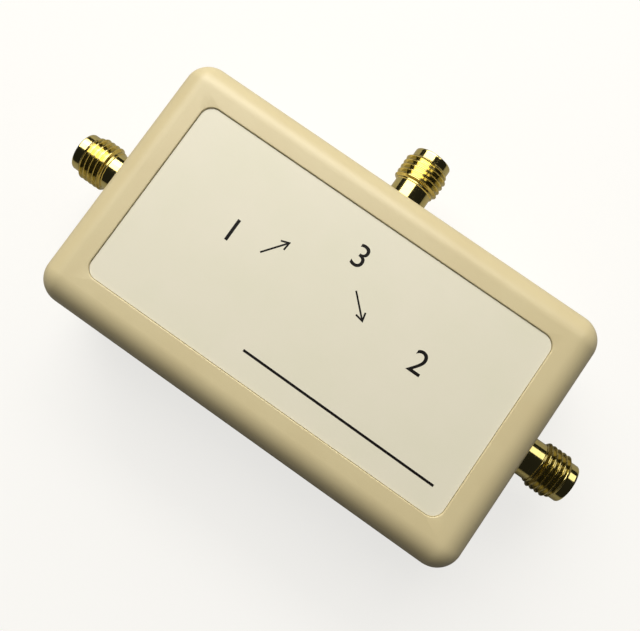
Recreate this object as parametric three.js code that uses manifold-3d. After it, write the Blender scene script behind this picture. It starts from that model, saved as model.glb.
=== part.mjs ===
// A standing-wave-ratio bridge for radio work. Two moulded half shells part at the height of three
// threaded coaxial jacks. A label lies in a shallow recess of the cover, and the bridge circuit,
// with its two ferrite-loaded lines, sits on a board between the jacks.
// Millimetres, +Z up. The origin is the middle of the flat underside. +X runs along the long side,
// from the input jack to the output jack, and +Y points out of the test port.
import * as THREE from 'three';
import { mergeVertices } from 'three/addons/utils/BufferGeometryUtils.js';
import Module from 'manifold-3d';

const wasm = await Module();
wasm.setup();

// Case shells
const caseLength = 60;
const caseWidth = 35;
const caseHeight = 20;
const wall = 2;
const cornerRadius = 3.3;
const topEdgeRadius = 3.3;
const bottomEdgeRadius = 1;
const partingHeight = 10;
const partingChamfer = 0.25;
const lipHeight = 1.2;
const lipThickness = 0.8;
const lipGap = 0.2;
const leastRadius = 0.1;

// Label and its recess
const recessLength = 50;
const recessWidth = 25;
const recessDepth = 0.5;
const recessCornerRadius = 1.6;
const labelThickness = 0.3;
const labelGap = 0.12;

// Case screws, driven from the underside
const caseScrewInset = 5;
const bossRadius = 3.2;
const bossGap = 0.3;
const counterboreRadius = 2.7;
const counterboreDepth = 2.4;
const caseScrew = {
  headRadius: 2.4,
  headHeight: 1.7,
  shankRadius: 1.3,
  length: 12.6,
  tipLength: 1.2,
  recessWidth: 0.7,
};
const screwHoleGap = 0.2;
const screwEndGap = 0.6;

// Coaxial jacks, with the usual 1/4-36 thread; lengths are counted outwards from the case wall
const inch = 25.4;
const threadsPerInch = 36;
const jackReach = 8.2;
const neckRadius = 2.65;
const threadStart = 3.4;
const threadLength = 3.6;
const threadRadius = 3.15;
const threadRootRadius = 2.74;
const threadFade = 0.4;
const tipChamfer = 0.15;
const jackHoleRadius = 3.25;
const flangeWidth = 9.5;
const flangeHeight = 7.9;
const flangeThickness = 2;
const flangeGap = 0.3;
const legWidth = 1;
const legHeight = 1;
const legLength = 4.5;
const boreRadius = 2.15;
const insulatorGap = 0.1;
const contactRadius = 0.635;
const contactRecess = 0.1;
const socketRadius = 0.47;
const socketDepth = 2.6;
const pinRadius = 0.4;
const pinLength = 2.4;
const outputJackOffset = 0.35;
const testPortOffset = 0.55;

// Circuit board
const boardThickness = 1.6;
const boardEdgeGap = 0.1;
const boardWallGap = 1;
const boardNotchGap = 0.5;
const solderGap = 0.1;
const postRadius = 2.2;
const postNotchInset = 5.3;
const postEdgeInset = 2.6;
const boardScrew = {
  headRadius: 1.9,
  headHeight: 1.3,
  shankRadius: 1,
  length: 5,
  tipLength: 0.8,
  recessWidth: 0.5,
};
const boardHoleGap = 0.15;

// Ferrite-loaded lines of the balun
const beadCount = 4;
const beadRadius = 2.25;
const beadBoreRadius = 1.4;
const beadLength = 3.2;
const beadGap = 0.5;
const restGap = 0.3;
const lineRadius = 1.1;
const lineSpacing = 9.2;
const lineEndGap = 0.7;
const lineBendRun = 3.6;
const lineShieldRun = 0.6;
const lineCoreRadius = 0.25;
const lineCoreRun = 1;

// Chip resistors
const chipLength = 3.2;
const chipWidth = 1.6;
const chipHeight = 0.6;
const chipCapLength = 0.5;
const chipCapRise = 0.05;
const chipLineGap = 0.6;
const referencePitch = 2.4;
const referenceDrop = 3.9;

// Cuts run this far past the faces they open
const overrun = 1;

// Facets on round things
const cornerSteps = 6;
const edgeSteps = 6;
const barrelSides = 24;
const holeSides = 20;
const lineSides = 10;
const bendSteps = 6;
const beadSides = 16;

// Shares of the thread's pitch, and of the screws' shanks and heads
const threadCrestShare = 0.125;
const threadRootShare = 0.25;
const screwTipShare = 0.5;
const headDomeShare = 0.45;
const headCrownShare = 0.7;
const recessReachShare = 0.6;
const recessDepthShare = 0.6;

// Places that several pieces share
const threadPitch = inch / threadsPerInch;
const jackAxisHeight = partingHeight;
const caseScrewX = caseLength / 2 - caseScrewInset;
const caseScrewY = caseWidth / 2 - caseScrewInset;
const flangeDepth = wall + flangeGap + flangeThickness;
const boardTop = jackAxisHeight - pinRadius - solderGap;
const boardBottom = boardTop - boardThickness;
const boardEndX = caseLength / 2 - flangeDepth - boardEdgeGap;
const boardBackY = caseWidth / 2 - flangeDepth - boardEdgeGap;
const boardFrontY = wall + boardWallGap - caseWidth / 2;
const boardNotchX = caseScrewX - bossRadius - boardNotchGap;
const boardNotchY = caseScrewY - bossRadius - boardNotchGap;
const postX = boardNotchX - postNotchInset;
const postY = boardBackY - postEdgeInset;
const lineY = lineSpacing / 2;
const lineHeight = boardTop + restGap + beadRadius;
const lineEndRun = lineBendRun + lineShieldRun + lineCoreRun;
const beadRowLength = beadCount * beadLength + (beadCount + 1) * beadGap;
const lineEndX = caseLength / 2 - flangeDepth - legLength - lineEndGap;
const beadRowStartX = lineEndX - lineEndRun - beadRowLength;
const lineStartX = beadRowStartX - lineEndRun;

// The jacks: the way out of the case, the distance of the wall, and the place along the wall
const alongX = new THREE.Vector3(1, 0, 0);
const alongY = new THREE.Vector3(0, 1, 0);
const jacks = [
  { name: 'input_jack', outward: alongX.clone().negate(), wallDistance: caseLength / 2, along: 0 },
  { name: 'output_jack', outward: alongX, wallDistance: caseLength / 2, along: outputJackOffset },
  { name: 'test_port_jack', outward: alongY, wallDistance: caseWidth / 2, along: -testPortOffset },
];

// The four corners of a rectangle, as signs
const cornerSigns = [[1, 1], [-1, 1], [-1, -1], [1, -1]];

// A closed geometry from BufferGeometry data, with shared points merged and no empty triangles
function closedGeometry(geometry) {
  const bare = geometry.clone();
  bare.deleteAttribute('normal');
  bare.deleteAttribute('uv');
  const merged = mergeVertices(bare);
  const corners = merged.index.array;
  const kept = [];
  for (let i = 0; i < corners.length; i += 3) {
    const [a, b, c] = corners.slice(i, i + 3);
    if (a !== b && b !== c && c !== a) {
      kept.push(a, b, c);
    }
  }
  merged.setIndex(kept);
  return merged;
}

function toSolid(geometry) {
  const closed = closedGeometry(geometry);
  const vertProperties = new Float32Array(closed.attributes.position.array);
  const triVerts = new Uint32Array(closed.index.array);
  return new wasm.Manifold(new wasm.Mesh({ numProp: 3, vertProperties, triVerts }));
}

function toGeometry(solid) {
  const mesh = solid.getMesh();
  const geometry = new THREE.BufferGeometry();
  geometry.setAttribute('position', new THREE.BufferAttribute(new Float32Array(mesh.vertProperties), 3));
  geometry.setIndex(new THREE.BufferAttribute(new Uint32Array(mesh.triVerts), 1));
  return geometry;
}

function joinAll(solids) {
  return solids.reduce((whole, solid) => whole.add(solid));
}

function cutAll(solid, cutters) {
  return cutters.reduce((rest, cutter) => rest.subtract(cutter), solid);
}

// Quads between neighbouring columns of points, as one geometry; every column has as many points
function gridGeometry(columns) {
  const geometry = new THREE.BufferGeometry();
  const places = columns.flat().flatMap((point) => [point.x, point.y, point.z]);
  const rows = columns[0].length;
  const triangles = [];
  for (let column = 0; column < columns.length - 1; column++) {
    for (let row = 0; row < rows - 1; row++) {
      const here = column * rows + row;
      const next = here + rows;
      triangles.push(here, next, next + 1, here, next + 1, here + 1);
    }
  }
  geometry.setAttribute('position', new THREE.Float32BufferAttribute(places, 3));
  geometry.setIndex(triangles);
  return geometry;
}

// Points round a rounded rectangle at one height, anticlockwise seen from above
function roundedRing(length, width, radius, z) {
  const ring = [];
  cornerSigns.forEach(([signX, signY], quarter) => {
    const centreX = signX * (length / 2 - radius);
    const centreY = signY * (width / 2 - radius);
    for (let step = 0; step <= cornerSteps; step++) {
      const angle = (quarter + step / cornerSteps) * Math.PI / 2;
      const x = centreX + radius * Math.cos(angle);
      const y = centreY + radius * Math.sin(angle);
      ring.push(new THREE.Vector3(x, y, z));
    }
  });
  return ring;
}

function middleOf(ring) {
  const sum = ring.reduce((total, point) => total.add(point), new THREE.Vector3());
  return sum.divideScalar(ring.length);
}

// A solid through a stack of rings, closed at its two ends
function loft(rings) {
  const first = middleOf(rings[0]);
  const last = middleOf(rings[rings.length - 1]);
  const columns = rings[0].map((point, index) => [first, ...rings.map((ring) => ring[index]), last]);
  columns.push(columns[0]);
  return toSolid(gridGeometry(columns));
}

// A stretch of the case's outline drawn in by an inset, from one height to another
function caseRing(inset, z) {
  const radius = Math.max(cornerRadius - inset, leastRadius);
  return roundedRing(caseLength - 2 * inset, caseWidth - 2 * inset, radius, z);
}

function casePrism(inset, bottom, top) {
  return loft([caseRing(inset, bottom), caseRing(inset, top)]);
}

// An upright cylinder from one height to another
function post(radius, x, y, bottom, top, sides = holeSides) {
  const geometry = new THREE.CylinderGeometry(radius, radius, top - bottom, sides);
  geometry.rotateX(Math.PI / 2);
  geometry.translate(x, y, (bottom + top) / 2);
  return toSolid(geometry);
}

function box(sizeX, sizeY, sizeZ, x, y, z) {
  return toSolid(new THREE.BoxGeometry(sizeX, sizeY, sizeZ).translate(x, y, z));
}

// The frame of a jack: its own Z points out of the case and its own Y points up
function jackFrame({ outward, wallDistance, along }) {
  const up = new THREE.Vector3(0, 0, 1);
  const sideways = new THREE.Vector3().crossVectors(up, outward);
  const place = outward.clone().multiplyScalar(wallDistance).addScaledVector(sideways, along);
  place.z = jackAxisHeight;
  return new THREE.Matrix4().makeBasis(sideways, up, outward).setPosition(place);
}

// The round holes that the three jacks leave the case through
function jackHoles() {
  return jacks.map((jack) => {
    const reach = wall + overrun;
    const hole = new THREE.CylinderGeometry(jackHoleRadius, jackHoleRadius, reach + overrun, barrelSides);
    hole.rotateX(Math.PI / 2);
    hole.translate(0, 0, (overrun - reach) / 2);
    return toSolid(hole.applyMatrix4(jackFrame(jack)));
  });
}

function atCaseScrews(build) {
  return cornerSigns.map(([signX, signY]) => build(signX * caseScrewX, signY * caseScrewY));
}

function topCover() {
  const rings = [caseRing(partingChamfer, partingHeight), caseRing(0, partingHeight + partingChamfer)];
  for (let step = 0; step <= edgeSteps; step++) {
    const angle = step / edgeSteps * Math.PI / 2;
    const inset = topEdgeRadius * (1 - Math.cos(angle));
    rings.push(caseRing(inset, caseHeight - topEdgeRadius * (1 - Math.sin(angle))));
  }
  const ceiling = caseHeight - wall;
  const skin = wall - lipThickness - lipGap;
  const screwTop = counterboreDepth + caseScrew.length + screwEndGap;
  const shell = cutAll(loft(rings), [
    casePrism(wall, partingHeight - overrun, ceiling),
    casePrism(skin, partingHeight - overrun, partingHeight + lipHeight + lipGap),
  ]);
  const bosses = atCaseScrews((x, y) => post(bossRadius, x, y, partingHeight, ceiling + wall / 2));
  const pilotRadius = caseScrew.shankRadius + screwHoleGap;
  const pilots = atCaseScrews((x, y) => post(pilotRadius, x, y, partingHeight - overrun, screwTop));
  const recessFloor = caseHeight - recessDepth;
  const recess = loft([
    roundedRing(recessLength, recessWidth, recessCornerRadius, recessFloor),
    roundedRing(recessLength, recessWidth, recessCornerRadius, caseHeight + overrun),
  ]);
  return cutAll(joinAll([shell, ...bosses]), [recess, ...pilots, ...jackHoles()]);
}

function label() {
  const floor = caseHeight - recessDepth;
  const length = recessLength - 2 * labelGap;
  const width = recessWidth - 2 * labelGap;
  const radius = Math.max(recessCornerRadius - labelGap, leastRadius);
  return loft([
    roundedRing(length, width, radius, floor),
    roundedRing(length, width, radius, floor + labelThickness),
  ]);
}

function bottomCase() {
  const rings = [];
  for (let step = 0; step <= edgeSteps; step++) {
    const angle = step / edgeSteps * Math.PI / 2;
    const inset = bottomEdgeRadius * (1 - Math.sin(angle));
    rings.push(caseRing(inset, bottomEdgeRadius * (1 - Math.cos(angle))));
  }
  rings.push(caseRing(0, partingHeight - partingChamfer), caseRing(partingChamfer, partingHeight));
  const shell = loft(rings).subtract(casePrism(wall, wall, partingHeight + overrun));
  const lipTop = partingHeight + lipHeight;
  const lip = cutAll(casePrism(wall - lipThickness, partingHeight - lipHeight, lipTop), [
    casePrism(wall, partingHeight - lipHeight - overrun, lipTop + overrun),
    ...atCaseScrews((x, y) => post(bossRadius + lipGap, x, y, partingHeight, lipTop + overrun)),
  ]);
  const bosses = atCaseScrews((x, y) => post(bossRadius, x, y, wall / 2, partingHeight - bossGap));
  const holeRadius = caseScrew.shankRadius + screwHoleGap;
  const holes = atCaseScrews((x, y) => post(holeRadius, x, y, 0, partingHeight + overrun));
  const counterbores = atCaseScrews((x, y) => post(counterboreRadius, x, y, -overrun, counterboreDepth));
  const boardPosts = cornerSigns.map(([signX, signY]) => {
    return post(postRadius, signX * postX, signY * postY, wall / 2, boardBottom);
  });
  const boardPilots = boardScrewPlaces().map(([x, y]) => {
    const bottom = boardTop - boardScrew.length - screwEndGap;
    return post(boardScrew.shankRadius + boardHoleGap, x, y, bottom, boardBottom + overrun);
  });
  const body = joinAll([shell, lip, ...bosses, ...boardPosts]);
  return cutAll(body, [...holes, ...counterbores, ...boardPilots, ...jackHoles()]);
}

// The board's two screws, on one diagonal of its four posts
function boardScrewPlaces() {
  return [[-postX, postY], [postX, -postY]];
}

function circuitBoard() {
  const outline = new THREE.Shape([
    new THREE.Vector2(-boardNotchX, boardFrontY),
    new THREE.Vector2(boardNotchX, boardFrontY),
    new THREE.Vector2(boardNotchX, -boardNotchY),
    new THREE.Vector2(boardEndX, -boardNotchY),
    new THREE.Vector2(boardEndX, boardNotchY),
    new THREE.Vector2(boardNotchX, boardNotchY),
    new THREE.Vector2(boardNotchX, boardBackY),
    new THREE.Vector2(-boardNotchX, boardBackY),
    new THREE.Vector2(-boardNotchX, boardNotchY),
    new THREE.Vector2(-boardEndX, boardNotchY),
    new THREE.Vector2(-boardEndX, -boardNotchY),
    new THREE.Vector2(-boardNotchX, -boardNotchY),
  ]);
  const plate = new THREE.ExtrudeGeometry(outline, { depth: boardThickness, bevelEnabled: false });
  const holes = boardScrewPlaces().map(([x, y]) => {
    return post(boardScrew.shankRadius + boardHoleGap, x, y, boardBottom - overrun, boardTop + overrun);
  });
  return cutAll(toSolid(plate.translate(0, 0, boardBottom)), holes);
}

// One column of the jack's outside at an angle round its axis, from the flange's back to the tip.
// The thread's rows climb by one pitch in a turn, so the last column meets the first one a pitch on.
function barrelColumn(angle) {
  const threadEnd = threadStart + threadLength;
  const rise = angle / (2 * Math.PI);
  const crestHalf = threadPitch * threadCrestShare / 2;
  const toothHalf = threadPitch * (1 - threadRootShare) / 2;
  const tooth = [[-toothHalf, 0], [-crestHalf, 1], [crestHalf, 1], [toothHalf, 0]];
  const rows = [[0, -flangeDepth], [neckRadius, -flangeDepth], [neckRadius, threadStart]];
  const turns = Math.ceil(threadLength / threadPitch);
  for (let turn = -1; turn <= turns; turn++) {
    for (const [offset, height] of tooth) {
      const free = threadStart + (turn + rise) * threadPitch + offset;
      const reach = Math.min(Math.max(free, threadStart), threadEnd);
      const fade = Math.min((reach - threadStart) / threadFade, (threadEnd - reach) / threadFade, 1);
      rows.push([threadRootRadius + height * fade * (threadRadius - threadRootRadius), reach]);
    }
  }
  rows.push([neckRadius, threadEnd], [neckRadius, jackReach - tipChamfer]);
  rows.push([neckRadius - tipChamfer, jackReach], [0, jackReach]);
  const cosine = Math.cos(angle);
  const sine = Math.sin(angle);
  return rows.map(([radius, reach]) => new THREE.Vector3(radius * cosine, radius * sine, reach));
}

// The jack's metal body: threaded barrel, square flange behind the wall, and four legs that
// straddle the board
function jackBody() {
  const columns = [];
  for (let side = 0; side <= barrelSides; side++) {
    columns.push(barrelColumn(side / barrelSides * 2 * Math.PI));
  }
  const flangeMiddle = -flangeDepth + flangeThickness / 2;
  const flange = box(flangeWidth, flangeHeight, flangeThickness, 0, 0, flangeMiddle);
  const legX = (flangeWidth - legWidth) / 2;
  const upperLegY = boardTop + solderGap + legHeight / 2 - jackAxisHeight;
  const lowerLegY = boardBottom - solderGap - legHeight / 2 - jackAxisHeight;
  const legReach = legLength + flangeThickness / 2;
  const legMiddle = -flangeDepth + (flangeThickness / 2 - legLength) / 2;
  const legs = [-legX, legX].flatMap((x) => [upperLegY, lowerLegY].map((y) => {
    return box(legWidth, legHeight, legReach, x, y, legMiddle);
  }));
  const bore = post(boreRadius, 0, 0, -flangeDepth - overrun, jackReach + overrun, barrelSides);
  return joinAll([toSolid(gridGeometry(columns)), flange, ...legs]).subtract(bore);
}

// A turned solid about Z, from a profile of radius and height that starts and ends on the axis
function turned(profile, sides) {
  const points = profile.map(([radius, height]) => new THREE.Vector2(radius, height));
  return toSolid(new THREE.LatheGeometry(points, sides).rotateX(Math.PI / 2));
}

function jackInsulator() {
  const outside = post(boreRadius - insulatorGap, 0, 0, -flangeDepth, jackReach, barrelSides);
  const inside = contactRadius + insulatorGap;
  return outside.subtract(post(inside, 0, 0, -flangeDepth - overrun, jackReach + overrun, holeSides));
}

// The centre contact: a socket at the front and a solder pin behind the flange
function jackContact() {
  const front = jackReach - contactRecess;
  return turned([
    [0, -flangeDepth - pinLength],
    [pinRadius, -flangeDepth - pinLength],
    [pinRadius, -flangeDepth],
    [contactRadius, -flangeDepth],
    [contactRadius, front],
    [socketRadius, front],
    [socketRadius, front - socketDepth],
    [0, front - socketDepth],
  ], holeSides);
}

// A pan-head screw with a cross recess; its seat is at height zero and its head points up
function screw({ headRadius, headHeight, shankRadius, length, tipLength, recessWidth }) {
  const blank = turned([
    [0, -length],
    [shankRadius * screwTipShare, -length],
    [shankRadius, tipLength - length],
    [shankRadius, 0],
    [headRadius, 0],
    [headRadius, headHeight * headDomeShare],
    [headRadius * headCrownShare, headHeight],
    [0, headHeight],
  ], holeSides);
  const reach = 2 * headRadius * recessReachShare;
  const depth = headHeight * recessDepthShare + overrun;
  const middle = headHeight + overrun - depth / 2;
  return cutAll(blank, [
    box(reach, recessWidth, depth, 0, 0, middle),
    box(recessWidth, reach, depth, 0, 0, middle),
  ]);
}

function ferriteBead() {
  const outside = post(beadRadius, 0, 0, -beadLength / 2, beadLength / 2, beadSides);
  return outside.subtract(post(beadBoreRadius, 0, 0, -beadLength, beadLength, beadSides));
}

// One end of a line, from the core's tip on its pad to where the shield is straight under the beads:
// distance from the tip, height and radius. The shield rises from the board on a smooth step.
function lineEndStations() {
  const coreHeight = boardTop + solderGap + lineCoreRadius;
  const shieldHeight = boardTop + restGap + lineRadius;
  const bendStart = lineCoreRun + lineShieldRun;
  const stations = [
    [0, coreHeight, lineCoreRadius],
    [lineCoreRun, shieldHeight, lineCoreRadius],
    [lineCoreRun, shieldHeight, lineRadius],
  ];
  for (let step = 0; step <= bendSteps; step++) {
    const share = step / bendSteps;
    const rise = share * share * (3 - 2 * share);
    const height = shieldHeight + (lineHeight - shieldHeight) * rise;
    stations.push([bendStart + lineBendRun * share, height, lineRadius]);
  }
  return stations;
}

// A line of the balun: a round tube through rings that stand square to its route
function balunLine(y) {
  const stations = lineEndStations();
  const left = stations.map(([run, height, radius]) => [lineStartX + run, height, radius]);
  const right = stations.map(([run, height, radius]) => [lineEndX - run, height, radius]).reverse();
  const route = [...left, ...right];
  const rings = route.map(([x, height, radius], index) => {
    const before = route[Math.max(index - 1, 0)];
    const after = route[Math.min(index + 1, route.length - 1)];
    const slope = Math.atan2(after[1] - before[1], after[0] - before[0]);
    const ring = [];
    for (let side = 0; side < lineSides; side++) {
      const angle = side / lineSides * 2 * Math.PI;
      const across = radius * Math.sin(angle);
      const up = radius * Math.cos(angle);
      ring.push(new THREE.Vector3(x - up * Math.sin(slope), y - across, height + up * Math.cos(slope)));
    }
    return ring;
  });
  return loft(rings);
}

// A chip resistor lying along X, with its two metal end caps; its underside is at height zero
function chipResistor() {
  const capX = (chipLength - chipCapLength) / 2;
  const capWidth = chipWidth + 2 * chipCapRise;
  const capHeight = chipHeight + chipCapRise;
  const caps = [-capX, capX].map((x) => box(chipCapLength, capWidth, capHeight, x, 0, capHeight / 2));
  const core = box(chipLength - chipCapLength, chipWidth, chipHeight, 0, 0, chipHeight / 2);
  return joinAll([core, ...caps]);
}

function finish(color, roughness, metalness) {
  return new THREE.MeshStandardMaterial({ color, roughness, metalness });
}

const finishes = {
  shell: finish(0xd9cda6, 0.5, 0),
  label: finish(0xe4dfca, 0.4, 0),
  goldPlate: finish(0xd9b64a, 0.25, 1),
  dielectric: finish(0xf2f0ea, 0.5, 0),
  screwSteel: finish(0x8d8f92, 0.35, 1),
  board: finish(0x1f5c3a, 0.5, 0),
  ferrite: finish(0x3b3a3c, 0.7, 0),
  tinned: finish(0xb9bbb8, 0.3, 1),
  chip: finish(0x17181a, 0.4, 0),
};

function piece(name, geometry, material) {
  const mesh = new THREE.Mesh(geometry, material);
  mesh.name = name;
  return mesh;
}

const bridge = new THREE.Group();
bridge.add(piece('top_cover', toGeometry(topCover()), finishes.shell));
bridge.add(piece('bottom_case', toGeometry(bottomCase()), finishes.shell));
bridge.add(piece('label', toGeometry(label()), finishes.label));
bridge.add(piece('circuit_board', toGeometry(circuitBoard()), finishes.board));

const bodyGeometry = toGeometry(jackBody());
const insulatorGeometry = toGeometry(jackInsulator());
const contactGeometry = toGeometry(jackContact());
for (const jack of jacks) {
  const assembly = new THREE.Group();
  assembly.applyMatrix4(jackFrame(jack));
  assembly.add(piece(`${jack.name}_body`, bodyGeometry, finishes.goldPlate));
  assembly.add(piece(`${jack.name}_insulator`, insulatorGeometry, finishes.dielectric));
  assembly.add(piece(`${jack.name}_contact`, contactGeometry, finishes.goldPlate));
  bridge.add(assembly);
}

const caseScrewGeometry = toGeometry(screw(caseScrew));
cornerSigns.forEach(([signX, signY], index) => {
  const mesh = piece(`case_screw_${index + 1}`, caseScrewGeometry, finishes.screwSteel);
  mesh.rotation.x = Math.PI;
  mesh.position.set(signX * caseScrewX, signY * caseScrewY, counterboreDepth);
  bridge.add(mesh);
});

const boardScrewGeometry = toGeometry(screw(boardScrew));
boardScrewPlaces().forEach(([x, y], index) => {
  const mesh = piece(`board_screw_${index + 1}`, boardScrewGeometry, finishes.screwSteel);
  mesh.position.set(x, y, boardTop);
  bridge.add(mesh);
});

const beadGeometry = toGeometry(ferriteBead());
for (const [name, y] of [['measuring', lineY], ['balancing', -lineY]]) {
  bridge.add(piece(`${name}_line`, toGeometry(balunLine(y)), finishes.tinned));
  for (let bead = 0; bead < beadCount; bead++) {
    const mesh = piece(`${name}_bead_${bead + 1}`, beadGeometry, finishes.ferrite);
    const x = beadRowStartX + beadGap + beadLength / 2 + bead * (beadLength + beadGap);
    mesh.rotation.y = Math.PI / 2;
    mesh.position.set(x, y, lineHeight);
    bridge.add(mesh);
  }
}

const chipGeometry = toGeometry(chipResistor());
const armX = lineStartX - chipLineGap - chipLength / 2;
for (const [name, y] of [['arm_resistor_test', lineY], ['arm_resistor_reference', -lineY]]) {
  const mesh = piece(name, chipGeometry, finishes.chip);
  mesh.position.set(armX, y, boardTop);
  bridge.add(mesh);
}
for (const [name, side] of [['reference_resistor_a', -1], ['reference_resistor_b', 1]]) {
  const mesh = piece(name, chipGeometry, finishes.chip);
  mesh.rotation.z = Math.PI / 2;
  mesh.position.set(lineStartX + side * referencePitch / 2, -lineY - referenceDrop, boardTop);
  bridge.add(mesh);
}

export default bridge;
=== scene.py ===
# %% [markdown]
# # A small radio test bridge, dressed in Blender
# The object is a cream moulded box with three gold-plated coaxial jacks, seen almost from above. A fixed
# frame holds every piece at its real size. This lesson makes the fine surfaces around that frame: smooth
# mouldings, real screw threads, a printed label, and the circuit that shows when the cover is lifted.
# Everything is in metres, in the frame's own axes: +X runs from the input jack to the output jack, +Y
# points out of the test port, and +Z goes up through the label.

import math

import bmesh
import bpy
from mathutils import Matrix, Vector


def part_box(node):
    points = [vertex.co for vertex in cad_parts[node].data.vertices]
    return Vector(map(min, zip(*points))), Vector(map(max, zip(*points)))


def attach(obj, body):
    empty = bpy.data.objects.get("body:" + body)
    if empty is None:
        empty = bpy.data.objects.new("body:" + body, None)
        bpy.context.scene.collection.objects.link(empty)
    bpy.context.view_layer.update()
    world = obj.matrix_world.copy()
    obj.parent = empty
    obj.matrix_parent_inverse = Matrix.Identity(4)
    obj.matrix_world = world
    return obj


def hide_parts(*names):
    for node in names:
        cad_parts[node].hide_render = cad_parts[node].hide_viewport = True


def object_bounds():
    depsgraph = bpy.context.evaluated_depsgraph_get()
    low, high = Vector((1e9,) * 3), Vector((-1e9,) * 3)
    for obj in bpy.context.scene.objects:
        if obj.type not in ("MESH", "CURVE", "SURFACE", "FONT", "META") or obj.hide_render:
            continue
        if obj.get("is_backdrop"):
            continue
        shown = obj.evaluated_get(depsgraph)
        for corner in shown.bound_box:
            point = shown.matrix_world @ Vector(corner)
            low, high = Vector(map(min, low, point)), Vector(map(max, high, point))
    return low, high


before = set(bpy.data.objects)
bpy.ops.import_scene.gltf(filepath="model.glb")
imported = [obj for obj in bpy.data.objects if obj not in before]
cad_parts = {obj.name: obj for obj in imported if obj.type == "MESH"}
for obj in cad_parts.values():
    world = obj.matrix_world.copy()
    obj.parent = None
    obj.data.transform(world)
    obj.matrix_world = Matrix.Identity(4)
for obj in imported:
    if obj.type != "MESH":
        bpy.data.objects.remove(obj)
cad_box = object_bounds()
MM = 0.001
print("the frame measures", [round(side / MM, 2) for side in cad_box[1] - cad_box[0]], "mm")

# %% [markdown]
# ## Helpers for shapes
# Nearly every piece here is a stack of closed outlines: a moulded shell is a stack of rounded rectangles,
# and a turned piece is a stack of circles. Skinning such a stack gives clean rows of four-sided faces,
# which shade smoothly and show exactly where each size comes from. A shape is kept as a list of points
# and a list of faces until it is placed, so that the finished object can sit at the origin, unturned.

# %% Outlines, stacks and placing
def rounded_outline(length, width, radius, height, steps):
    """Points round a rounded rectangle at one height, anticlockwise seen from above."""
    points = []
    for corner, (side_x, side_y) in enumerate([(1, 1), (-1, 1), (-1, -1), (1, -1)]):
        centre = Vector((side_x * (length / 2 - radius), side_y * (width / 2 - radius), height))
        for step in range(steps + 1):
            angle = (corner + step / steps) * math.pi / 2
            points.append(centre + radius * Vector((math.cos(angle), math.sin(angle), 0)))
    return points


def circle(radius, height, sides):
    """Points round a circle about Z."""
    angles = [2 * math.pi * side / sides for side in range(sides)]
    return [Vector((radius * math.cos(angle), radius * math.sin(angle), height)) for angle in angles]


def skinned(rings, capped=True, looped=False):
    """Faces between neighbouring rings of as many points each; looped joins the last ring to the first."""
    count = len(rings[0])
    points = [point for ring in rings for point in ring]
    faces = []
    for level in range(len(rings) if looped else len(rings) - 1):
        low = level * count
        high = (level + 1) % len(rings) * count
        for here in range(count):
            there = (here + 1) % count
            faces.append((low + here, low + there, high + there, high + here))
    if capped and not looped:
        faces.append(tuple(range(count)))
        faces.append(tuple(range(len(points) - count, len(points))))
    return points, faces


def turned(profile, sides, **ends):
    """A profile of (radius, height) turned about Z, as on a lathe."""
    return skinned([circle(radius, height, sides) for radius, height in profile], **ends)


def block(size, centre, edge, steps=3):
    """A box with its edges taken off by that much."""
    length, width, height = size
    middle = Vector(centre)
    stack = [(edge, -height / 2), (0, edge - height / 2), (0, height / 2 - edge), (edge, height / 2)]
    rings = []
    for inset, level in stack:
        ring = rounded_outline(length - 2 * inset, width - 2 * inset, edge, level, steps)
        rings.append([point + middle for point in ring])
    return skinned(rings)


def moved(shape, matrix):
    """The shape with its points moved by a matrix."""
    points, faces = shape
    return [matrix @ point for point in points], faces


quarter = math.pi / 2


def quarter_arc(steps):
    """The cosine and sine of each step from nothing to a quarter turn."""
    angles = [quarter * step / steps for step in range(steps + 1)]
    return [(math.cos(angle), math.sin(angle)) for angle in angles]


def edge_rings(outline, inset, height, across, up, steps):
    """Outlines round an edge: from the inset, up off the height, to across off the inset, at the height."""
    return [outline(inset + across * (1 - c), height + up * (1 - s)) for c, s in quarter_arc(steps)]


# %% [markdown]
# ## From shapes to finished pieces
# Holes and bosses are cut and joined with Blender's Boolean modifier. Its result is turned into a plain
# mesh at once, so nothing live is left on a piece. Flat faces that meet a rounding would pick up a soft
# grey gradient from it, so each piece ends with weighted normals, which let the large faces decide.

# %% Meshes, cuts and finishing
weld = 0.0005 * MM
crease_angle = math.radians(32)


def in_scene(name, data):
    """A new object with that data, in the scene."""
    made = bpy.data.objects.new(name, data)
    bpy.context.scene.collection.objects.link(made)
    return made


def solid(name, *shapes):
    """One mesh object from shapes, with doubled points merged and its faces turned outwards."""
    mesh = bpy.data.meshes.new(name)
    bm = bmesh.new()
    for points, faces in shapes:
        corners = [bm.verts.new(point) for point in points]
        for face in faces:
            bm.faces.new([corners[index] for index in face])
    bmesh.ops.remove_doubles(bm, verts=bm.verts, dist=weld)
    bmesh.ops.dissolve_degenerate(bm, edges=bm.edges, dist=weld)
    bmesh.ops.recalc_face_normals(bm, faces=bm.faces)
    bm.to_mesh(mesh)
    bm.free()
    return in_scene(name, mesh)


def made_plain(piece):
    """Turns what the modifiers show into the piece's own mesh, and removes them."""
    graph = bpy.context.evaluated_depsgraph_get()
    mesh = bpy.data.meshes.new_from_object(piece.evaluated_get(graph), depsgraph=graph)
    piece.modifiers.clear()
    piece.data = mesh
    return piece


def combined(piece, operation, *tools):
    """Cuts the piece with the tools, or joins them to it, and deletes the tools."""
    for tool in tools:
        cut = piece.modifiers.new(operation.lower(), "BOOLEAN")
        cut.operation = operation
        cut.solver = "EXACT"
        cut.object = tool
    made_plain(piece)
    for tool in tools:
        bpy.data.objects.remove(tool)
    return piece


def shape_of(piece):
    """The piece's mesh as a shape, and the piece is deleted."""
    shape = [v.co.copy() for v in piece.data.vertices], [tuple(f.vertices) for f in piece.data.polygons]
    bpy.data.objects.remove(piece)
    return shape


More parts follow.
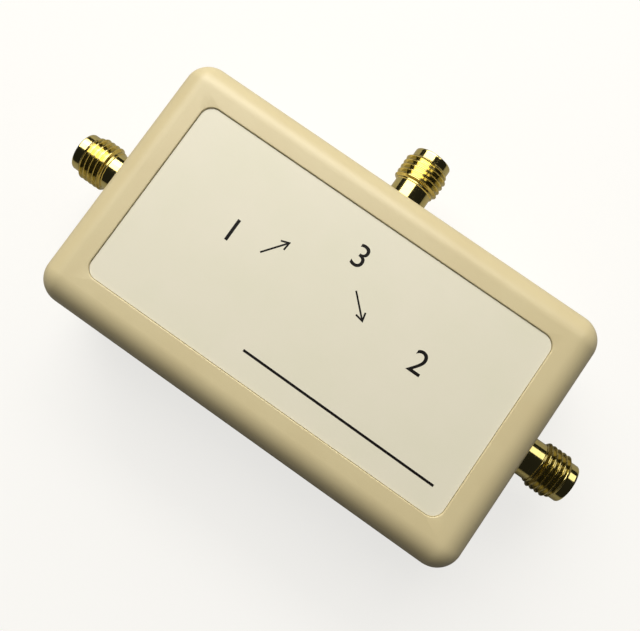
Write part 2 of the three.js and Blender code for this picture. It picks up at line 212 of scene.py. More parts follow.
def finished(piece, body, slot, nodes, *materials):
    """Smooths the piece, gives it its materials, hangs it on its body and hides the nodes it stands for."""
    if materials:
        piece.data.materials.clear()
        for material in materials:
            piece.data.materials.append(material)
    piece.data.shade_smooth()
    piece.data.set_sharp_from_angle(angle=crease_angle)
    normals = piece.modifiers.new("normals", "WEIGHTED_NORMAL")
    normals.keep_sharp = True
    made_plain(piece)
    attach(piece, body)
    if nodes:
        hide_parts(*nodes)
    piece.data.calc_loop_triangles()
    print(f"{piece.name}: {len(piece.data.loop_triangles)} triangles")
    return piece


# %% [markdown]
# ## Helpers for nodes
# Materials and Geometry Nodes trees are both built here by one small function that adds a node. Colours
# are written as the sRGB hex values that a colour picker shows, and one function turns them to the linear
# light that Blender calculates with.

# %% Nodes, colours and materials
def add(tree, kind, inputs=None, **settings):
    """Adds a node. Settings are its properties; inputs are values or, for a node or socket, links."""
    node = tree.nodes.new(kind)
    for name, value in settings.items():
        setattr(node, name, value)
    shown = [socket for socket in node.inputs if socket.enabled]
    for key, value in (inputs or {}).items():
        socket = shown[key] if isinstance(key, int) else next(s for s in shown if s.name == key)
        if isinstance(value, bpy.types.Node):
            value = next(s for s in value.outputs if s.enabled)
        if isinstance(value, bpy.types.NodeSocket):
            tree.links.new(value, socket)
        else:
            socket.default_value = value
    return node


def linear(hex_colour):
    """An sRGB hex value as linear red, green, blue and a full alpha."""
    shares = [int(hex_colour[start:start + 2], 16) / 255 for start in (1, 3, 5)]
    return [s / 12.92 if s <= 0.04045 else ((s + 0.055) / 1.055) ** 2.4 for s in shares] + [1.0]


def new_material(name, **surface_values):
    """A material with one Principled surface; values are its sockets, with _ for a space."""
    material = bpy.data.materials.new(name)
    material.use_nodes = True
    tree = material.node_tree
    tree.nodes.clear()
    values = {key.replace("_", " "): value for key, value in surface_values.items()}
    surface = add(tree, "ShaderNodeBsdfPrincipled", values)
    add(tree, "ShaderNodeOutputMaterial", {"Surface": surface})
    return material, tree, surface


def clouded_material(name, size, pale, deep, smooth, dull, detail=3.0, **surface_values):
    """A material that drifts between two colours, and from smooth to dull, in clouds of one size."""
    material, tree, surface = new_material(name, **surface_values)
    place = add(tree, "ShaderNodeTexCoord").outputs["Object"]
    cloud = add(tree, "ShaderNodeTexNoise", {"Vector": place, "Scale": 1 / size, "Detail": detail})
    tints = {"Factor": cloud, "A": linear(pale), "B": linear(deep)}
    colour = add(tree, "ShaderNodeMix", tints, data_type="RGBA")
    tree.links.new(colour.outputs[2], surface.inputs["Base Color"])
    rough = add(tree, "ShaderNodeMapRange", {"Value": cloud, "To Min": smooth, "To Max": dull})
    tree.links.new(rough.outputs[0], surface.inputs["Roughness"])
    return material, tree, surface, cloud


def speckled_material(name, size, depth, pale, deep, smooth, dull, **surface_values):
    """A clouded material whose clouds also stand out by that depth; returns its bump as well."""
    clouded = clouded_material(name, size, pale, deep, smooth, dull, **surface_values)
    material, tree, surface, cloud = clouded
    uneven = add(tree, "ShaderNodeBump", {"Height": cloud, "Strength": 0.3, "Distance": depth})
    tree.links.new(uneven.outputs[0], surface.inputs["Normal"])
    return material, uneven


# %% [markdown]
# ## Camera
# The photograph looks down on the box from about 100 mm above the bench, with the box turned by 35
# degrees in the picture. The camera was fitted to the straight edges of the case and of the recess, and
# then held a little lower than that fit, because the jacks' places argue for it. The colours were matched
# under the view transform Standard, so the scene sets it. The floor and the lights only stage the object.

# %% The camera where the photograph was taken
photo_width = 640
photo_height = 631
lens_in_pixels = 708.5
sensor_width = 36.0
camera_place = Vector((5.36, -7.47, 102.0)) * MM
camera_aim = Vector((0.69, -0.81, 20.0)) * MM
camera_turn = math.radians(35.04)

forward = (camera_aim - camera_place).normalized()
photo_up = Vector((-math.sin(camera_turn), math.cos(camera_turn), 0))
rightward = forward.cross(photo_up).normalized()
upward = rightward.cross(forward)
camera = in_scene("camera", bpy.data.cameras.new("camera"))
camera.data.sensor_width = sensor_width
camera.data.lens = sensor_width * lens_in_pixels / photo_width
camera.data.clip_start = 1 * MM
camera.matrix_world = Matrix((rightward, upward, -forward)).transposed().to_4x4()
camera.location = camera_place
bpy.context.scene.camera = camera
bpy.context.scene.view_settings.view_transform = "Standard"
print("lens", round(camera.data.lens, 2), "mm for a picture of", photo_width, "by", photo_height)

# %% [markdown]
# ## Floor and light
# One large softbox stands towards the input jack and the test port, about 45 degrees above the floor. It
# gives the bright ridge along the test port's edge, and leaves the two opposite edges dark, as in the
# photograph. A narrower light just in front of it makes a brighter band across it, and a narrow panel
# towards the output jack is what that jack mirrors. The floor glows a little to the camera, so the
# picture stays pale, and is a plain grey card to everything else, because a white one would fill the dark
# sides of the box and turn the gold's shaded flanks white. The room is dim, and pale only to the camera.

# %% A pale sweep, three lights and a dim room
floor_radius = 2500 * MM
floor_sides = 96
floor = solid("floor", (circle(floor_radius, 0, floor_sides), [tuple(range(floor_sides))]))
floor_finish, tree, card = new_material("pale_paper_sweep", Roughness=0.9, Base_Color=linear("#A5A29C"))
glow = add(tree, "ShaderNodeEmission", {"Color": linear("#F6F5F2"), "Strength": 0.82})
paper = add(tree, "ShaderNodeBsdfDiffuse", {"Color": linear("#8A8987")})
pale = add(tree, "ShaderNodeAddShader", {0: glow, 1: paper})
seen = add(tree, "ShaderNodeLightPath").outputs["Is Camera Ray"]
swept = add(tree, "ShaderNodeMixShader", {0: seen, 1: card, 2: pale})
tree.links.new(swept.outputs[0], tree.nodes["Material Output"].inputs["Surface"])
floor.data.materials.append(floor_finish)
floor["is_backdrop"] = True


def soft_light(name, direction, distance, length, width, power, colour):
    """A rectangular area light that looks at the middle of the case, with its length along X."""
    light = bpy.data.lights.new(name, "AREA")
    light.shape = "RECTANGLE"
    light.size = length
    light.size_y = width
    light.energy = power
    light.color = linear(colour)[:3]
    lamp = in_scene(name, light)
    backward = direction.normalized()
    sideways = (Vector((1, 0, 0)) - backward * backward.x).normalized()
    upright = backward.cross(sideways)
    lamp.matrix_world = Matrix((sideways, upright, backward)).transposed().to_4x4()
    lamp.location = camera_aim + backward * distance


# Each has its direction from the case, its distance, length and width in mm, its power in watts and colour.
soft_lights = {
    "softbox": ((-0.60, 0.74, 1.0), 470, 490, 490, 2.71, "#FFFCF5"),
    "softbox_middle": ((-0.42, 0.94, 1.0), 450, 490, 100, 0.56, "#FFFCF5"),
    "narrow_panel": ((0.43, 0.75, 0.67), 420, 80, 250, 0.107, "#FFFCF5"),
}
for name, (direction, distance, length, width, power, colour) in soft_lights.items():
    soft_light(name, Vector(direction), distance * MM, length * MM, width * MM, power, colour)

room = bpy.data.worlds.new("studio")
room.use_nodes = True
room.node_tree.nodes.clear()
room_light = add(room.node_tree, "ShaderNodeBackground", {"Color": linear("#E8EAEE"), "Strength": 0.02})
room_seen = add(room.node_tree, "ShaderNodeBackground", {"Color": linear("#F1F1F0"), "Strength": 1.0})
seen = add(room.node_tree, "ShaderNodeLightPath").outputs["Is Camera Ray"]
room_mix = add(room.node_tree, "ShaderNodeMixShader", {0: seen, 1: room_light, 2: room_seen})
add(room.node_tree, "ShaderNodeOutputWorld", {"Surface": room_mix})
bpy.context.scene.world = room

# %% [markdown]
# ## Sizes
# What the frame can say is read from it: the case's outline, the height where the two halves part, and
# where the jacks and screws stand. The remaining sizes are those of the mouldings, in millimetres.

# %% Read the case from the frame
case_low, case_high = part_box("bottom_case")[0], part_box("top_cover")[1]
case_length = case_high.x - case_low.x
case_width = case_high.y - case_low.y
case_height = case_high.z - case_low.z
parting_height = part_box("top_cover")[0].z
wall = 2 * MM
corner_radius = 3.3 * MM
top_edge_radius = 3.3 * MM
bottom_edge_radius = 1 * MM
parting_chamfer = 0.25 * MM
lip_height = 1.2 * MM
lip_thickness = 0.8 * MM
lip_gap = 0.2 * MM
inner_radius = 0.5 * MM
least_corner_radius = 0.2 * MM
corner_steps = 20
edge_steps = 14
small_edge_steps = 5
overrun = 1 * MM
print("case", [round(size / MM, 2) for size in (case_length, case_width, case_height)], "mm")


def case_outline(inset, height):
    """The case's outline drawn in by an inset, with its corners kept round."""
    radius = max(corner_radius - inset, least_corner_radius)
    return rounded_outline(case_length - 2 * inset, case_width - 2 * inset, radius, height, corner_steps)


# %% [markdown]
# ## Moulded ABS
# Both half shells are ABS, injection moulded in a spark-eroded tool. To the eye that is a satin cream
# plastic: soft wide highlights, an even fine grain, a faint cloudiness in the colour, and a little dirt
# held in the seam between the halves. The grain is really about 0.05 mm; it is drawn at 0.16 mm, the
# finest that shows in the picture.

# %% The ABS finish
abs_cloud = 7 * MM
abs_grain = 0.16 * MM
abs_waviness = 2.4 * MM
abs_grain_depth = 0.012 * MM
abs_wave_depth = 0.05 * MM
seam_dirt_reach = 0.35 * MM

moulded_abs, tree, surface = new_material("moulded_abs_cream", IOR=1.54)
place = add(tree, "ShaderNodeTexCoord").outputs["Object"]
cloud = add(tree, "ShaderNodeTexNoise", {"Vector": place, "Scale": 1 / abs_cloud, "Detail": 2.0})
cream_pale, cream_deep = linear("#E0D3A9"), linear("#D7C79B")
cream = add(tree, "ShaderNodeMix", {"Factor": cloud, "A": cream_pale, "B": cream_deep}, data_type="RGBA")
height = add(tree, "ShaderNodeSeparateXYZ", {0: place}).outputs["Z"]
from_seam = add(tree, "ShaderNodeMath", {0: height, 1: parting_height}, operation="SUBTRACT")
off_seam = add(tree, "ShaderNodeMath", {0: from_seam}, operation="ABSOLUTE")
dirt = add(
    tree,
    "ShaderNodeMapRange",
    {"Value": off_seam, "From Min": 0.0, "From Max": seam_dirt_reach, "To Min": 0.45, "To Max": 0.0},
)
seamed = add(tree, "ShaderNodeMix", {"Factor": dirt, "A": cream, "B": linear("#8A7B58")}, data_type="RGBA")
tree.links.new(seamed.outputs[2], surface.inputs["Base Color"])
grain = add(tree, "ShaderNodeTexNoise", {"Vector": place, "Scale": 1 / abs_grain, "Detail": 3.0})
waves = add(tree, "ShaderNodeTexNoise", {"Vector": place, "Scale": 1 / abs_waviness, "Detail": 1.0})
rough = add(tree, "ShaderNodeMapRange", {"Value": grain, "To Min": 0.29, "To Max": 0.42})
tree.links.new(rough.outputs[0], surface.inputs["Roughness"])
ripple = add(tree, "ShaderNodeBump", {"Height": waves, "Strength": 0.05, "Distance": abs_wave_depth})
erosion = {"Height": grain, "Strength": 0.22, "Distance": abs_grain_depth, "Normal": ripple}
eroded = add(tree, "ShaderNodeBump", erosion)
tree.links.new(eroded.outputs[0], surface.inputs["Normal"])

# %% [markdown]
# ## Where the jacks stand
# The three jacks are one pattern, turned to face out of three walls. Each gets a matrix whose own Z
# points out of the case and whose own Y points up, worked out from where the frame holds its contact.

# %% The three jacks' places
jacks = {}
for name, outward in {
    "input_jack": Vector((-1, 0, 0)),
    "output_jack": Vector((1, 0, 0)),
    "test_port_jack": Vector((0, 1, 0)),
}.items():
    low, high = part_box(name + "_contact")
    middle = (low + high) / 2
    wall_distance = case_length / 2 if outward.x else case_width / 2
    origin = Vector((0 if outward.x else middle.x, 0 if outward.y else middle.y, middle.z))
    origin += outward * wall_distance
    upright = Vector((0, 0, 1))
    turn = Matrix((upright.cross(outward), upright, outward)).transposed().to_4x4()
    jacks[name] = Matrix.Translation(origin) @ turn
    print(name, "leaves the wall at", [round(value / MM, 2) for value in origin])

# %% [markdown]
# ## The cover
# The cover is a shell: outside wall, a generous rounding, a flat frame and the shallow recess for the
# label, then back up the inside. All of it is one stack of rounded rectangles, from the middle of the
# recess to the middle of the ceiling, so the wall's thickness can't drift. The screw bosses are joined
# to it, and the jack holes and pilot holes are cut, the jack holes with a slight countersink as a
# moulding has.

# %% Sizes of the recess, bosses and holes
label_low, label_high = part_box("label")
label_gap = 0.12 * MM
recess_length = label_high.x - label_low.x + 2 * label_gap
recess_width = label_high.y - label_low.y + 2 * label_gap
recess_floor = label_low.z
recess_radius = 1.6 * MM
recess_rim = 0.15 * MM
boss_radius = 3.2 * MM
boss_gap = 0.3 * MM
pilot_radius = 1.5 * MM
hole_radius = 3.25 * MM
hole_rim = 0.15 * MM
round_sides = 64
screw_names = [f"case_screw_{number}" for number in range(1, 5)]
screw_places = [(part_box(name)[0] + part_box(name)[1]) / 2 for name in screw_names]
screw_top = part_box("case_screw_1")[1].z
screw_end_gap = 0.6 * MM


def post(radius, place, low, high, sides=round_sides):
    """An upright cylinder from one height to another."""
    return moved(turned([(radius, low), (radius, high)], sides), Matrix.Translation((place.x, place.y, 0)))


def jack_hole_cutters(name):
    """One cutter for the three jack holes, flared where it leaves each wall."""
    profile = [(hole_radius, -wall - overrun), (hole_radius, -hole_rim), (hole_radius + hole_rim, 0)]
    profile.append((hole_radius + hole_rim, overrun))
    return solid(name, *[moved(turned(profile, round_sides), matrix) for matrix in jacks.values()])


# %% Build the cover
def recess_outline(inset, height):
    """The recess's outline drawn in by an inset, with its corners kept round."""
    radius = recess_radius - inset
    return rounded_outline(recess_length - 2 * inset, recess_width - 2 * inset, radius, height, corner_steps)


cover_rings = [recess_outline(0, recess_floor), recess_outline(0, case_height - recess_rim)]
cover_rings += edge_rings(recess_outline, 0, case_height, -recess_rim, -recess_rim, small_edge_steps)[1:]
cover_rings += edge_rings(case_outline, 0, case_height, top_edge_radius, -top_edge_radius, edge_steps)[::-1]
cover_rings.append(case_outline(0, parting_height + parting_chamfer))
cover_rings.append(case_outline(parting_chamfer, parting_height))
skin = wall - lip_thickness - lip_gap
lip_room = lip_height + lip_gap
cover_rings.append(case_outline(skin, parting_height))
cover_rings.append(case_outline(skin, parting_height + lip_room))
cover_rings.append(case_outline(wall, parting_height + lip_room))
ceiling = case_height - wall
cover_rings += edge_rings(case_outline, wall, ceiling, inner_radius, -inner_radius, small_edge_steps)
cover = solid("cover_moulding", skinned(cover_rings))

bosses = solid("bosses", *[post(boss_radius, p, parting_height, ceiling + wall / 2) for p in screw_places])
combined(cover, "UNION", bosses)
pilot_end = screw_top + screw_end_gap
pilots = solid("pilots", *[post(pilot_radius, p, parting_height - overrun, pilot_end) for p in screw_places])
combined(cover, "DIFFERENCE", jack_hole_cutters("jack_holes"), pilots)
finished(cover, "cover", "shell", ["top_cover"], moulded_abs)

# %% [markdown]
# ## The bottom case
# The lower half is the same idea upside down: a smaller rounding at the base, a tongue that fits inside
# the cover's edge, posts that carry the circuit board, and a counterbore for each screw head.

# %% Build the bottom case
board_low, board_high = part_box("circuit_board")
board_screw_names = ["board_screw_1", "board_screw_2"]
board_screw_places = [(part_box(name)[0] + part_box(name)[1]) / 2 for name in board_screw_names]
counterbore_radius = 2.7 * MM
counterbore_depth = 2.4 * MM
post_radius = 2.2 * MM
board_pilot_radius = 1.15 * MM
board_pilot_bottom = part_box("board_screw_1")[0].z - screw_end_gap

case_rings = edge_rings(case_outline, 0, 0, bottom_edge_radius, bottom_edge_radius, edge_steps)[::-1]
case_rings.append(case_outline(0, parting_height - parting_chamfer))
case_rings.append(case_outline(parting_chamfer, parting_height))
case_rings.append(case_outline(wall - lip_thickness, parting_height))
case_rings.append(case_outline(wall - lip_thickness, parting_height + lip_height))
case_rings.append(case_outline(wall, parting_height + lip_height))
case_rings += edge_rings(case_outline, wall, wall, inner_radius, inner_radius, small_edge_steps)
case = solid("case_moulding", skinned(case_rings))

lip_cut_radius = boss_radius + lip_gap
lip_cut_top = parting_height + 2 * overrun
lip_room_cuts = [post(lip_cut_radius, p, parting_height, lip_cut_top) for p in screw_places]
combined(case, "DIFFERENCE", solid("lip_cuts", *lip_room_cuts))
case_bosses = [post(boss_radius, p, wall / 2, parting_height - boss_gap) for p in screw_places]
post_x, post_y = abs(board_screw_places[0].x), abs(board_screw_places[0].y)
post_spots = [Vector((x, y, 0)) for x in (-post_x, post_x) for y in (-post_y, post_y)]
board_posts = [post(post_radius, p, wall / 2, board_low.z) for p in post_spots]
combined(case, "UNION", solid("case_bosses", *case_bosses), solid("board_posts", *board_posts))
through = [post(pilot_radius, p, -overrun, parting_height + overrun) for p in screw_places]
counterbores = [post(counterbore_radius, p, -overrun, counterbore_depth) for p in screw_places]
board_pilot_top = board_low.z + overrun
board_pilots = [post(board_pilot_radius, p, board_pilot_bottom, board_pilot_top) for p in board_screw_places]
combined(
    case,
    "DIFFERENCE",
    jack_hole_cutters("case_jack_holes"),
    solid("through_holes", *through),
    solid("counterbores", *counterbores),
    solid("board_pilots", *board_pilots),
)
finished(case, "case", "shell", ["bottom_case"], moulded_abs)

# %% [markdown]
# ## The label
# The label is a printed polyester film that fills the recess. It is satin and slightly warm, with a very
# soft mottle from the adhesive under it, and its edge stands a little below the frame, so the frame
# throws a thin shadow on it. It is cut a hair smaller than the recess, which leaves a fine dark line all
# round. The marks are printed on it: here they are a plain number for each port, two arrows and a line to
# write on, made as thin solids so that they stay sharp from close by.

# %% Film and ink
film_mottle = 6 * MM
film_tooth = 0.2 * MM
film_mottle_depth = 0.06 * MM
film_tooth_depth = 0.01 * MM

printed_film, tree, surface = new_material("printed_polyester_film", IOR=1.5)
place = add(tree, "ShaderNodeTexCoord").outputs["Object"]
mottle = add(tree, "ShaderNodeTexNoise", {"Vector": place, "Scale": 1 / film_mottle, "Detail": 3.0})
film_pale, film_deep = linear("#F0EAD8"), linear("#E9E6CF")
film = add(tree, "ShaderNodeMix", {"Factor": mottle, "A": film_pale, "B": film_deep}, data_type="RGBA")
tree.links.new(film.outputs[2], surface.inputs["Base Color"])
tooth = add(tree, "ShaderNodeTexNoise", {"Vector": place, "Scale": 1 / film_tooth, "Detail": 2.0})
rough = add(tree, "ShaderNodeMapRange", {"Value": tooth, "To Min": 0.38, "To Max": 0.52})
tree.links.new(rough.outputs[0], surface.inputs["Roughness"])
pressed = add(tree, "ShaderNodeBump", {"Height": mottle, "Strength": 0.12, "Distance": film_mottle_depth})
matting = {"Height": tooth, "Strength": 0.10, "Distance": film_tooth_depth, "Normal": pressed}
toothed = add(tree, "ShaderNodeBump", matting)
tree.links.new(toothed.outputs[0], surface.inputs["Normal"])

printing_ink = clouded_material(
    "black_printing_ink", film_tooth, "#070505", "#15110F", 0.35, 0.6, IOR=1.35, Specular_IOR_Level=0.3
)[0]

# %% The film in its recess
film_edge = 0.05 * MM
film_gap = 0.04 * MM


def film_outline(inset, height):
    """The film's outline drawn in by an inset."""
    return recess_outline(film_gap + inset, height)


film_rings = [film_outline(0, label_low.z), film_outline(0, label_high.z - film_edge)]
film_rings += edge_rings(film_outline, 0, label_high.z, film_edge, -film_edge, small_edge_steps)[1:]
film = solid("label_film", skinned(film_rings))
finished(film, "cover", "label_plate", ["label"], printed_film)

# %% Marks on the film
ink_thickness = 0.012 * MM
ink_sink = 0.006 * MM
stroke_width = 0.31 * MM
arrow_width = 0.22 * MM
barb_length = 1.05 * MM
barb_angle = math.radians(33)
number_height = 2.9 * MM
# The places of the marks on the label, in mm.
number_places = {"1": Vector((-13.6, 1.6)), "2": Vector((13.2, 1.3)), "3": Vector((0.6, 7.7))}
arrow_ends = [(Vector((-9.39, 1.30)), Vector((-7.19, 4.16))), (Vector((2.47, 4.02)), Vector((5.08, 1.50)))]
writing_line = (Vector((-4.3, -9.2)), Vector((22.45, -9.35)))


def strip(path, width):
    """The outline of a stroke of that width along a flat path, mitred at its bends."""
    left, right = [], []
    for index, here in enumerate(path):
        after = (path[min(index + 1, len(path) - 1)] - path[min(index, len(path) - 2)]).normalized()
        before = (path[max(index, 1)] - path[max(index - 1, 0)]).normalized()
        along = (before + after).normalized()
        across = Vector((-along.y, along.x)) * width / 2 / along.dot(after)
        left.append(here + across)
        right.append(here - across)
    return left + right[::-1]


def slab(outline, low, high):
    """A flat plate with that outline, from one height to another."""
    return skinned([[Vector((point.x, point.y, level)) for point in outline] for level in (low, high)])


def ink_slab(outline):
    """A mark with that outline, rooted a little in the film."""
    return slab(outline, label_high.z - ink_sink, label_high.z + ink_thickness)


strokes = [solid("writing_line", ink_slab(strip([end * MM for end in writing_line], stroke_width)))]
for tail, tip in arrow_ends:
    back = (tail - tip).normalized() * barb_length
    barbs = [tip * MM + Matrix.Rotation(side * barb_angle, 2) @ back for side in (-1, 1)]
    shaft = solid("shaft", ink_slab(strip([tail * MM, tip * MM], arrow_width)))
    head = solid("head", ink_slab(strip([barbs[0], tip * MM, barbs[1]], arrow_width)))
    strokes.append(combined(shaft, "UNION", head))
for digit, place in number_places.items():
    curve = bpy.data.curves.new("port_number_" + digit, "FONT")
    curve.body = digit
    curve.extrude = (ink_sink + ink_thickness) / 2
    written = in_scene(curve.name, curve)
    graph = bpy.context.evaluated_depsgraph_get()
    mesh = bpy.data.meshes.new_from_object(written.evaluated_get(graph))
    bpy.data.objects.remove(written)
    corners = [vertex.co.copy() for vertex in mesh.vertices]
    low_x, high_x = min(c.x for c in corners), max(c.x for c in corners)
    low_y, high_y = min(c.y for c in corners), max(c.y for c in corners)
    grow = number_height / (high_y - low_y)
    middle = Vector(((low_x + high_x) / 2, (low_y + high_y) / 2))
    for vertex in mesh.vertices:
        flat = (vertex.co.xy - middle) * grow + place * MM
        vertex.co = (flat.x, flat.y, vertex.co.z + label_high.z + (ink_thickness - ink_sink) / 2)
    strokes.append(in_scene("number_" + digit, mesh))

label_print = solid("label_print", *[shape_of(stroke) for stroke in strokes])
finished(label_print, "cover", "label_plate", [], printing_ink)

# %% [markdown]
# ## Gold-plated brass
# The jacks are turned from brass and plated with a thin layer of gold. Such a surface has no colour of
# its own but the colour of what it reflects, tinted yellow: one hard bright band from the softbox, beside
# deep brown where it mirrors the dim room. The tool leaves fine rings round it, drawn here at 0.07 mm.
# They follow the jack's own axis, so each jack's mesh carries its distance along that axis. It also
# carries how deep in the thread a point lies, and by that the roots get painted shade: darker, and duller.

# %% The gold finish
ring_spacing = 0.07 * MM
ring_depth = 0.004 * MM
plating_cloud = 0.9 * MM
# Where painted shade starts in the thread's groove and where it is full, and how much duller the roots get.
root_shade_start_share = 0.9
root_shade_full_share = 0.4
root_shade_dulling = 0.2


def add_turning_rings(tree, surface, spacing, strength):
    """Fine rings left by a tool, along the distance that the piece's mesh carries."""
    along = add(tree, "ShaderNodeAttribute", attribute_name="along").outputs["Fac"]
    ring_place = add(tree, "ShaderNodeMath", {0: along, 1: 1 / spacing}, operation="MULTIPLY")
    scratches = {"W": ring_place, "Scale": 1.0, "Detail": 2.0}
    rings = add(tree, "ShaderNodeTexNoise", scratches, noise_dimensions="1D")
    marks = add(tree, "ShaderNodeBump", {"Height": rings, "Strength": strength, "Distance": ring_depth})
    tree.links.new(marks.outputs[0], surface.inputs["Normal"])


gold_plate, tree, surface = new_material("gold_plated_turned_brass", Metallic=1.0)
place = add(tree, "ShaderNodeTexCoord").outputs["Object"]
cloud = add(tree, "ShaderNodeTexNoise", {"Vector": place, "Scale": 1 / plating_cloud, "Detail": 3.0})
gold_pale, gold_deep = linear("#E8DA92"), linear("#D8C67C")
gold = add(tree, "ShaderNodeMix", {"Factor": cloud, "A": gold_pale, "B": gold_deep}, data_type="RGBA")
groove = add(tree, "ShaderNodeAttribute", attribute_name="groove").outputs["Fac"]
# Painted shade in the thread's roots: by the groove depth the gold is mixed towards a dark brown and made
# duller.
root_shade_range = {"Value": groove, "From Min": root_shade_start_share, "To Max": root_shade_full_share}
painted_root_shade = add(tree, "ShaderNodeMapRange", root_shade_range)
gold_with_root_shade = add(tree, "ShaderNodeMix", {"Factor": painted_root_shade, "A": gold, "B": linear("#3B2C1C")}, data_type="RGBA")
tree.links.new(gold_with_root_shade.outputs[2], surface.inputs["Base Color"])
bright = add(tree, "ShaderNodeMapRange", {"Value": cloud, "To Min": 0.06, "To Max": 0.17})
rough = add(tree, "ShaderNodeMath", {0: painted_root_shade, 1: root_shade_dulling, 2: bright}, operation="MULTIPLY_ADD")
tree.links.new(rough.outputs[0], surface.inputs["Roughness"])
add_turning_rings(tree, surface, ring_spacing, 0.35)

# %% [markdown]
# ## A screw thread from a rule
# A thread is a tooth that climbs by one pitch in each turn. In Geometry Nodes it starts as a flat grid:
# one direction goes round, the other goes along. Each point is lifted by its share of a turn, held
# between the thread's two ends, and pushed out by the tooth's height at its row. The rows climb with
# the tooth, so its edges stay crisp, and the last column meets the first one a pitch further on. The
# tooth has straight flanks, with a flat crest of an eighth and a root of a sixth of the pitch, as a 60
# degree thread has. The same tree cuts the fine jack thread, 36 to the inch, and both screws' threads.

# %% Build the thread tree
def new_tree(name, inputs):
    """An empty Geometry Nodes tree with these named inputs, its input sockets and its output node."""
    tree = bpy.data.node_groups.new(name, "GeometryNodeTree")
    tree.interface.new_socket("Geometry", in_out="OUTPUT", socket_type="NodeSocketGeometry")
    for label, kind in inputs.items():
        tree.interface.new_socket(label, in_out="INPUT", socket_type="NodeSocket" + kind)
    return tree, tree.nodes.new("NodeGroupInput").outputs


def end_tree(tree, geometry, material):
    """Ends a tree the way the export needs: real geometry with a material on it."""
    real = add(tree, "GeometryNodeRealizeInstances", {"Geometry": geometry})
    painted = add(tree, "GeometryNodeSetMaterial", {"Geometry": real, "Material": material})
    add(tree, "NodeGroupOutput", {0: painted})


def grown(piece, tree, inputs):
    """Runs a tree on a piece with its named inputs, and keeps the result as the piece's plain mesh."""
    modifier = piece.modifiers.new(tree.name, "NODES")
    modifier.node_group = tree
    for item in tree.interface.items_tree:
        if item.in_out == "INPUT" and item.name in inputs:
            modifier[item.identifier] = inputs[item.name]
    return made_plain(piece)


thread_rows = 24
crest_share = 1 / 8
root_share = 1 / 6
thread_sizes = ["Turns", "Pitch", "Start", "End", "Root radius", "Crest radius", "Fade"]
thread_inputs = thread_sizes + ["Crest share", "Root share"]
thread_tree, given = new_tree(
    "helical_thread",
    {"Columns": "Int", "Rows": "Int", **{label: "Float" for label in thread_inputs}, "Material": "Material"},
)
t = thread_tree
grid = add(
    t,
    "GeometryNodeMeshGrid",
    {"Size X": 1.0, "Size Y": given["Turns"], "Vertices X": given["Columns"], "Vertices Y": given["Rows"]},
)
place = add(t, "ShaderNodeSeparateXYZ", {0: add(t, "GeometryNodeInputPosition")})
round_share = add(t, "ShaderNodeMath", {0: place.outputs["X"], 1: 0.5}, operation="ADD")
half_turns = add(t, "ShaderNodeMath", {0: given["Turns"], 1: 0.5}, operation="MULTIPLY")
turn = add(t, "ShaderNodeMath", {0: place.outputs["Y"], 1: half_turns}, operation="ADD")
climb = add(t, "ShaderNodeMath", {0: turn, 1: round_share}, operation="ADD")
lowered = add(t, "ShaderNodeMath", {0: climb, 1: 1.0}, operation="SUBTRACT")
free = add(t, "ShaderNodeMath", {0: lowered, 1: given["Pitch"], 2: given["Start"]}, operation="MULTIPLY_ADD")
held = add(t, "ShaderNodeClamp", {"Value": free, "Min": given["Start"], "Max": given["End"]})
wave = add(t, "ShaderNodeMath", {0: turn, 1: 0.5}, operation="PINGPONG")
triangle = add(t, "ShaderNodeMath", {0: wave, 1: 2.0}, operation="MULTIPLY")
crest_edge = add(t, "ShaderNodeMath", {0: 1.0, 1: given["Crest share"]}, operation="SUBTRACT")
flank = {"Value": triangle, "From Min": given["Root share"], "From Max": crest_edge}
tooth = add(t, "ShaderNodeMapRange", flank)
from_start = add(t, "ShaderNodeMath", {0: held, 1: given["Start"]}, operation="SUBTRACT")
from_end = add(t, "ShaderNodeMath", {0: given["End"], 1: held}, operation="SUBTRACT")
from_ends = add(t, "ShaderNodeMath", {0: from_start, 1: from_end}, operation="MINIMUM")
fade = add(t, "ShaderNodeMapRange", {"Value": from_ends, "From Max": given["Fade"]})
full = add(t, "ShaderNodeMath", {0: given["Crest radius"], 1: given["Root radius"]}, operation="SUBTRACT")
faded = add(t, "ShaderNodeMath", {0: tooth, 1: fade}, operation="MULTIPLY")
radius = add(t, "ShaderNodeMath", {0: faded, 1: full, 2: given["Root radius"]}, operation="MULTIPLY_ADD")
angle = add(t, "ShaderNodeMath", {0: round_share, 1: 2 * math.pi}, operation="MULTIPLY")
spoke = add(t, "ShaderNodeCombineXYZ", {"X": radius, "Z": held})
wound = add(t, "ShaderNodeVectorRotate", {"Vector": spoke, "Angle": angle}, rotation_type="Z_AXIS")
shaped = add(t, "GeometryNodeSetPosition", {"Geometry": grid.outputs["Mesh"], "Position": wound})
joined = add(t, "GeometryNodeMergeByDistance", {"Geometry": shaped, "Distance": weld})
end_tree(t, joined, given["Material"])


def thread(pitch, start, end, root, crest, fade, sides, material):
    """An open threaded sleeve about Z, with plain root circles at its two ends."""
    turns = math.ceil((end - start) / pitch) + 2
    values = [float(turns), pitch, start, end, root, crest, fade, crest_share, root_share]
    counts = {"Columns": sides + 1, "Rows": turns * thread_rows + 1, "Material": material}
    sleeve = grown(solid("thread", ([], [])), thread_tree, {**dict(zip(thread_inputs, values)), **counts})
    return shape_of(sleeve)


# %% [markdown]
# ## The jacks
# Each jack's body is one turned piece. Behind the wall it has a square flange, with four legs that
# straddle the board's edge. The threaded sleeve is welded into the turned profile, whose other points
# run over the front, back through the bore and round the rear. The flange gets its own hole first, so
# that joining it leaves the bore clear. White PTFE fills the bore, and a slotted gold socket runs
# through it. All three are built once, about Z, and copied to the three places.

